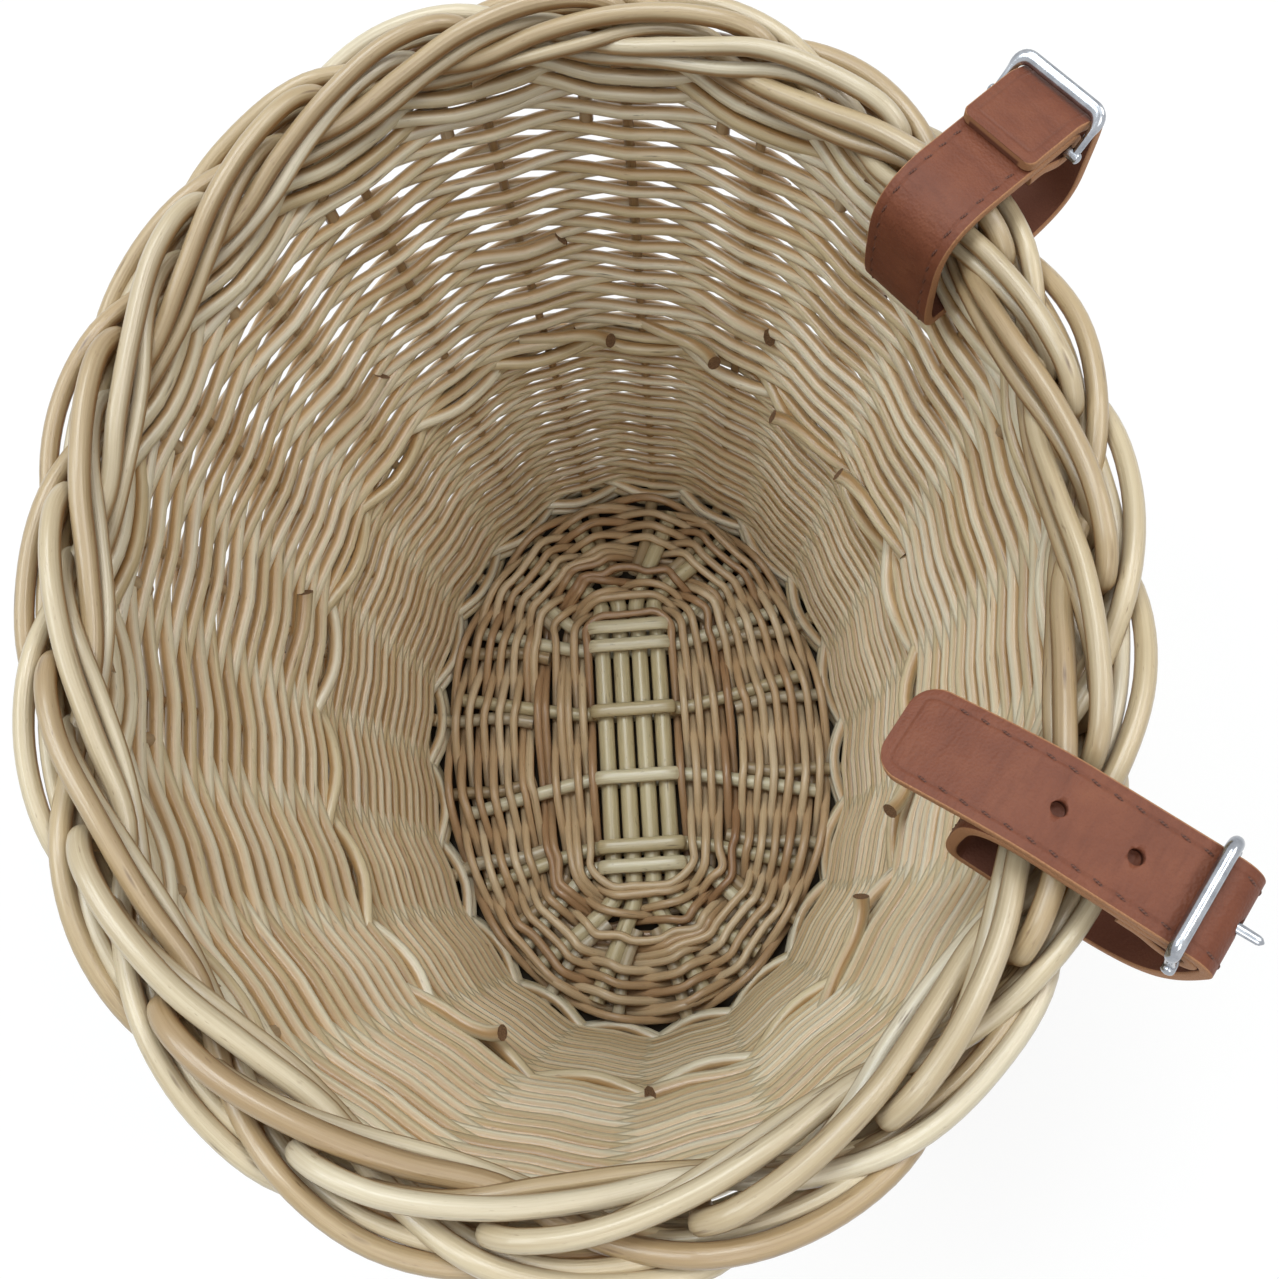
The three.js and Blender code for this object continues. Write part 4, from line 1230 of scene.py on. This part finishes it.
right_bow = partial(tilted, right_frame, RIGHT_BAR, RIGHT_FRAME_TILT)
right_pin = partial(tilted, right_frame, RIGHT_BAR, RIGHT_PRONG_TILT)
left_bow = partial(tilted, left_frame, LEFT_BAR, LEFT_FRAME_TILT)
left_pin = partial(tilted, left_frame, LEFT_BAR, LEFT_PRONG_TILT)
buckle_frame("right", right_bow, RIGHT_FRONT_EXTRA)
buckle_prong("right", right_pin, right_frame.axes[1])
buckle_frame("left", left_bow, 0)
buckle_prong("left", left_pin, left_frame.axes[1])

# Camera at the photograph's place, turned by one angle about one axis
camera_data = bpy.data.cameras.new("camera")
camera = bpy.data.objects.new("camera", camera_data)
bpy.context.scene.collection.objects.link(camera)
SENSOR_WIDTH = 36
IMAGE_WIDTH = 1279
FOCAL_PIXELS = 1257.06
camera_data.sensor_width = SENSOR_WIDTH
camera_data.lens = SENSOR_WIDTH * FOCAL_PIXELS / IMAGE_WIDTH
camera_turn = Vector((0.299965, 0.060721, -0.069536))
camera_place = Vector((28.3646, -105.0161, 478.6079)) * MM + Vector(MIDDLE)
camera.matrix_world = Matrix.Translation(camera_place) @ Matrix.Rotation(
    camera_turn.length, 4, camera_turn.normalized()
)
bpy.context.scene.camera = camera

# Pale floor. Seen by the camera and in reflections it is near white and keeps a soft shadow. Under the base
# and a margin round it the floor colour is a painted shadow of dark brown, and there it does not glow.
floor_mesh = bpy.data.meshes.new("floor")
floor_half = 6.0
floor_corners = [(-1, -1), (1, -1), (1, 1), (-1, 1)]
floor_mesh.from_pydata([(x * floor_half, y * floor_half, 0) for x, y in floor_corners], [], [(0, 1, 2, 3)])
floor = bpy.data.objects.new("floor", floor_mesh)
bpy.context.scene.collection.objects.link(floor)


def seen_directly(tree):
    """One for rays that show the background: from the camera, in reflections and through glass."""
    path = tree.nodes.new("ShaderNodeLightPath")
    total = path.outputs["Is Camera Ray"]
    for kind in ("Is Glossy Ray", "Is Transmission Ray"):
        both = tree.nodes.new("ShaderNodeMath")
        both.use_clamp = True
        tree.links.new(total, both.inputs[0])
        tree.links.new(path.outputs[kind], both.inputs[1])
        total = both.outputs[0]
    return total


# How far past the base the painted shadow on the floor reaches
PAINTED_SHADOW_MARGIN = 8
FLOOR_GLOW = 0.8
floor_nodes = Nodes("floor_white")
glow = floor_nodes.add("ShaderNodeEmission")
glow.inputs["Color"].default_value = (1, 1, 1, 1)
blend = floor_nodes.add("ShaderNodeMixShader")
floor_place = floor_nodes.split(floor_nodes.add("ShaderNodeNewGeometry").outputs["Position"])
across = floor_nodes.math("DIVIDE", floor_place[0], (BASE_HALF_WIDTH + PAINTED_SHADOW_MARGIN) * MM)
along = floor_nodes.math("DIVIDE", floor_place[1], (BASE_HALF_LENGTH + PAINTED_SHADOW_MARGIN) * MM)
from_middle = floor_nodes.plus(floor_nodes.math("POWER", across, 2), floor_nodes.math("POWER", along, 2))
# Painted shadow: clear is 0 under the base and its margin, where the floor is painted dark brown and the glow
# is off
clear = floor_nodes.times(floor_nodes.minus(from_middle, 1.0), 3.0, clamp=True)
floor_and_painted_shadow = floor_nodes.mix("MIX", clear, (0.05, 0.036, 0.022, 1), (0.86, 0.86, 0.86, 1))
floor_nodes.set(Base_Color=floor_and_painted_shadow, Roughness=0.9)
shown = floor_nodes.times(seen_directly(floor_nodes.tree), clear)
floor_nodes.link(floor_nodes.times(shown, FLOOR_GLOW), blend.inputs[0])
floor_nodes.link(floor_nodes.shader.outputs[0], blend.inputs[1])
floor_nodes.link(glow.outputs[0], blend.inputs[2])
floor_nodes.link(blend.outputs[0], floor_nodes.tree.nodes["Material Output"].inputs["Surface"])
floor_mesh.materials.append(floor_nodes.material)

# Soft studio light
SKY_STRENGTH = 0.36
world = bpy.data.worlds.new("studio")
bpy.context.scene.world = world
world.use_nodes = True
world_tree = world.node_tree
sky = world_tree.nodes["Background"]
sky.inputs["Color"].default_value = (0.95, 0.98, 1.0, 1)
sky.inputs["Strength"].default_value = SKY_STRENGTH
white_sky = world_tree.nodes.new("ShaderNodeBackground")
white_sky.inputs["Color"].default_value = (1, 1, 1, 1)
sky_mix = world_tree.nodes.new("ShaderNodeMixShader")
world_tree.links.new(seen_directly(world_tree), sky_mix.inputs[0])
world_tree.links.new(sky.outputs[0], sky_mix.inputs[1])
world_tree.links.new(white_sky.outputs[0], sky_mix.inputs[2])
world_tree.links.new(sky_mix.outputs[0], world_tree.nodes["World Output"].inputs["Surface"])


def area_light(name, place, target, size, power, colour):
    data = bpy.data.lights.new(name, "AREA")
    data.size = size
    data.energy = power
    data.color = colour
    light = bpy.data.objects.new(name, data)
    light.location = place
    light.rotation_euler = (Vector(target) - Vector(place)).to_track_quat("-Z", "Y").to_euler()
    bpy.context.scene.collection.objects.link(light)


WARM = (1.0, 0.99, 0.96)
COOL = (0.9, 0.97, 1.0)
LIGHT_TARGET = (0, 0, 0.1)
area_light("key", (-0.35, 1.2, 3.0), LIGHT_TARGET, 1.2, 40, COOL)
area_light("left", (-1.6, 0.2, 2.4), LIGHT_TARGET, 1.2, 29, COOL)
area_light("right", (1.6, 0.2, 2.4), LIGHT_TARGET, 1.2, 27, WARM)
area_light("front", (0.1, -1.6, 2.4), LIGHT_TARGET, 1.2, 14, WARM)
area_light("top", (0.1, -0.2, 3.2), LIGHT_TARGET, 1.6, 6, COOL)

bpy.context.scene.view_settings.view_transform = "Standard"
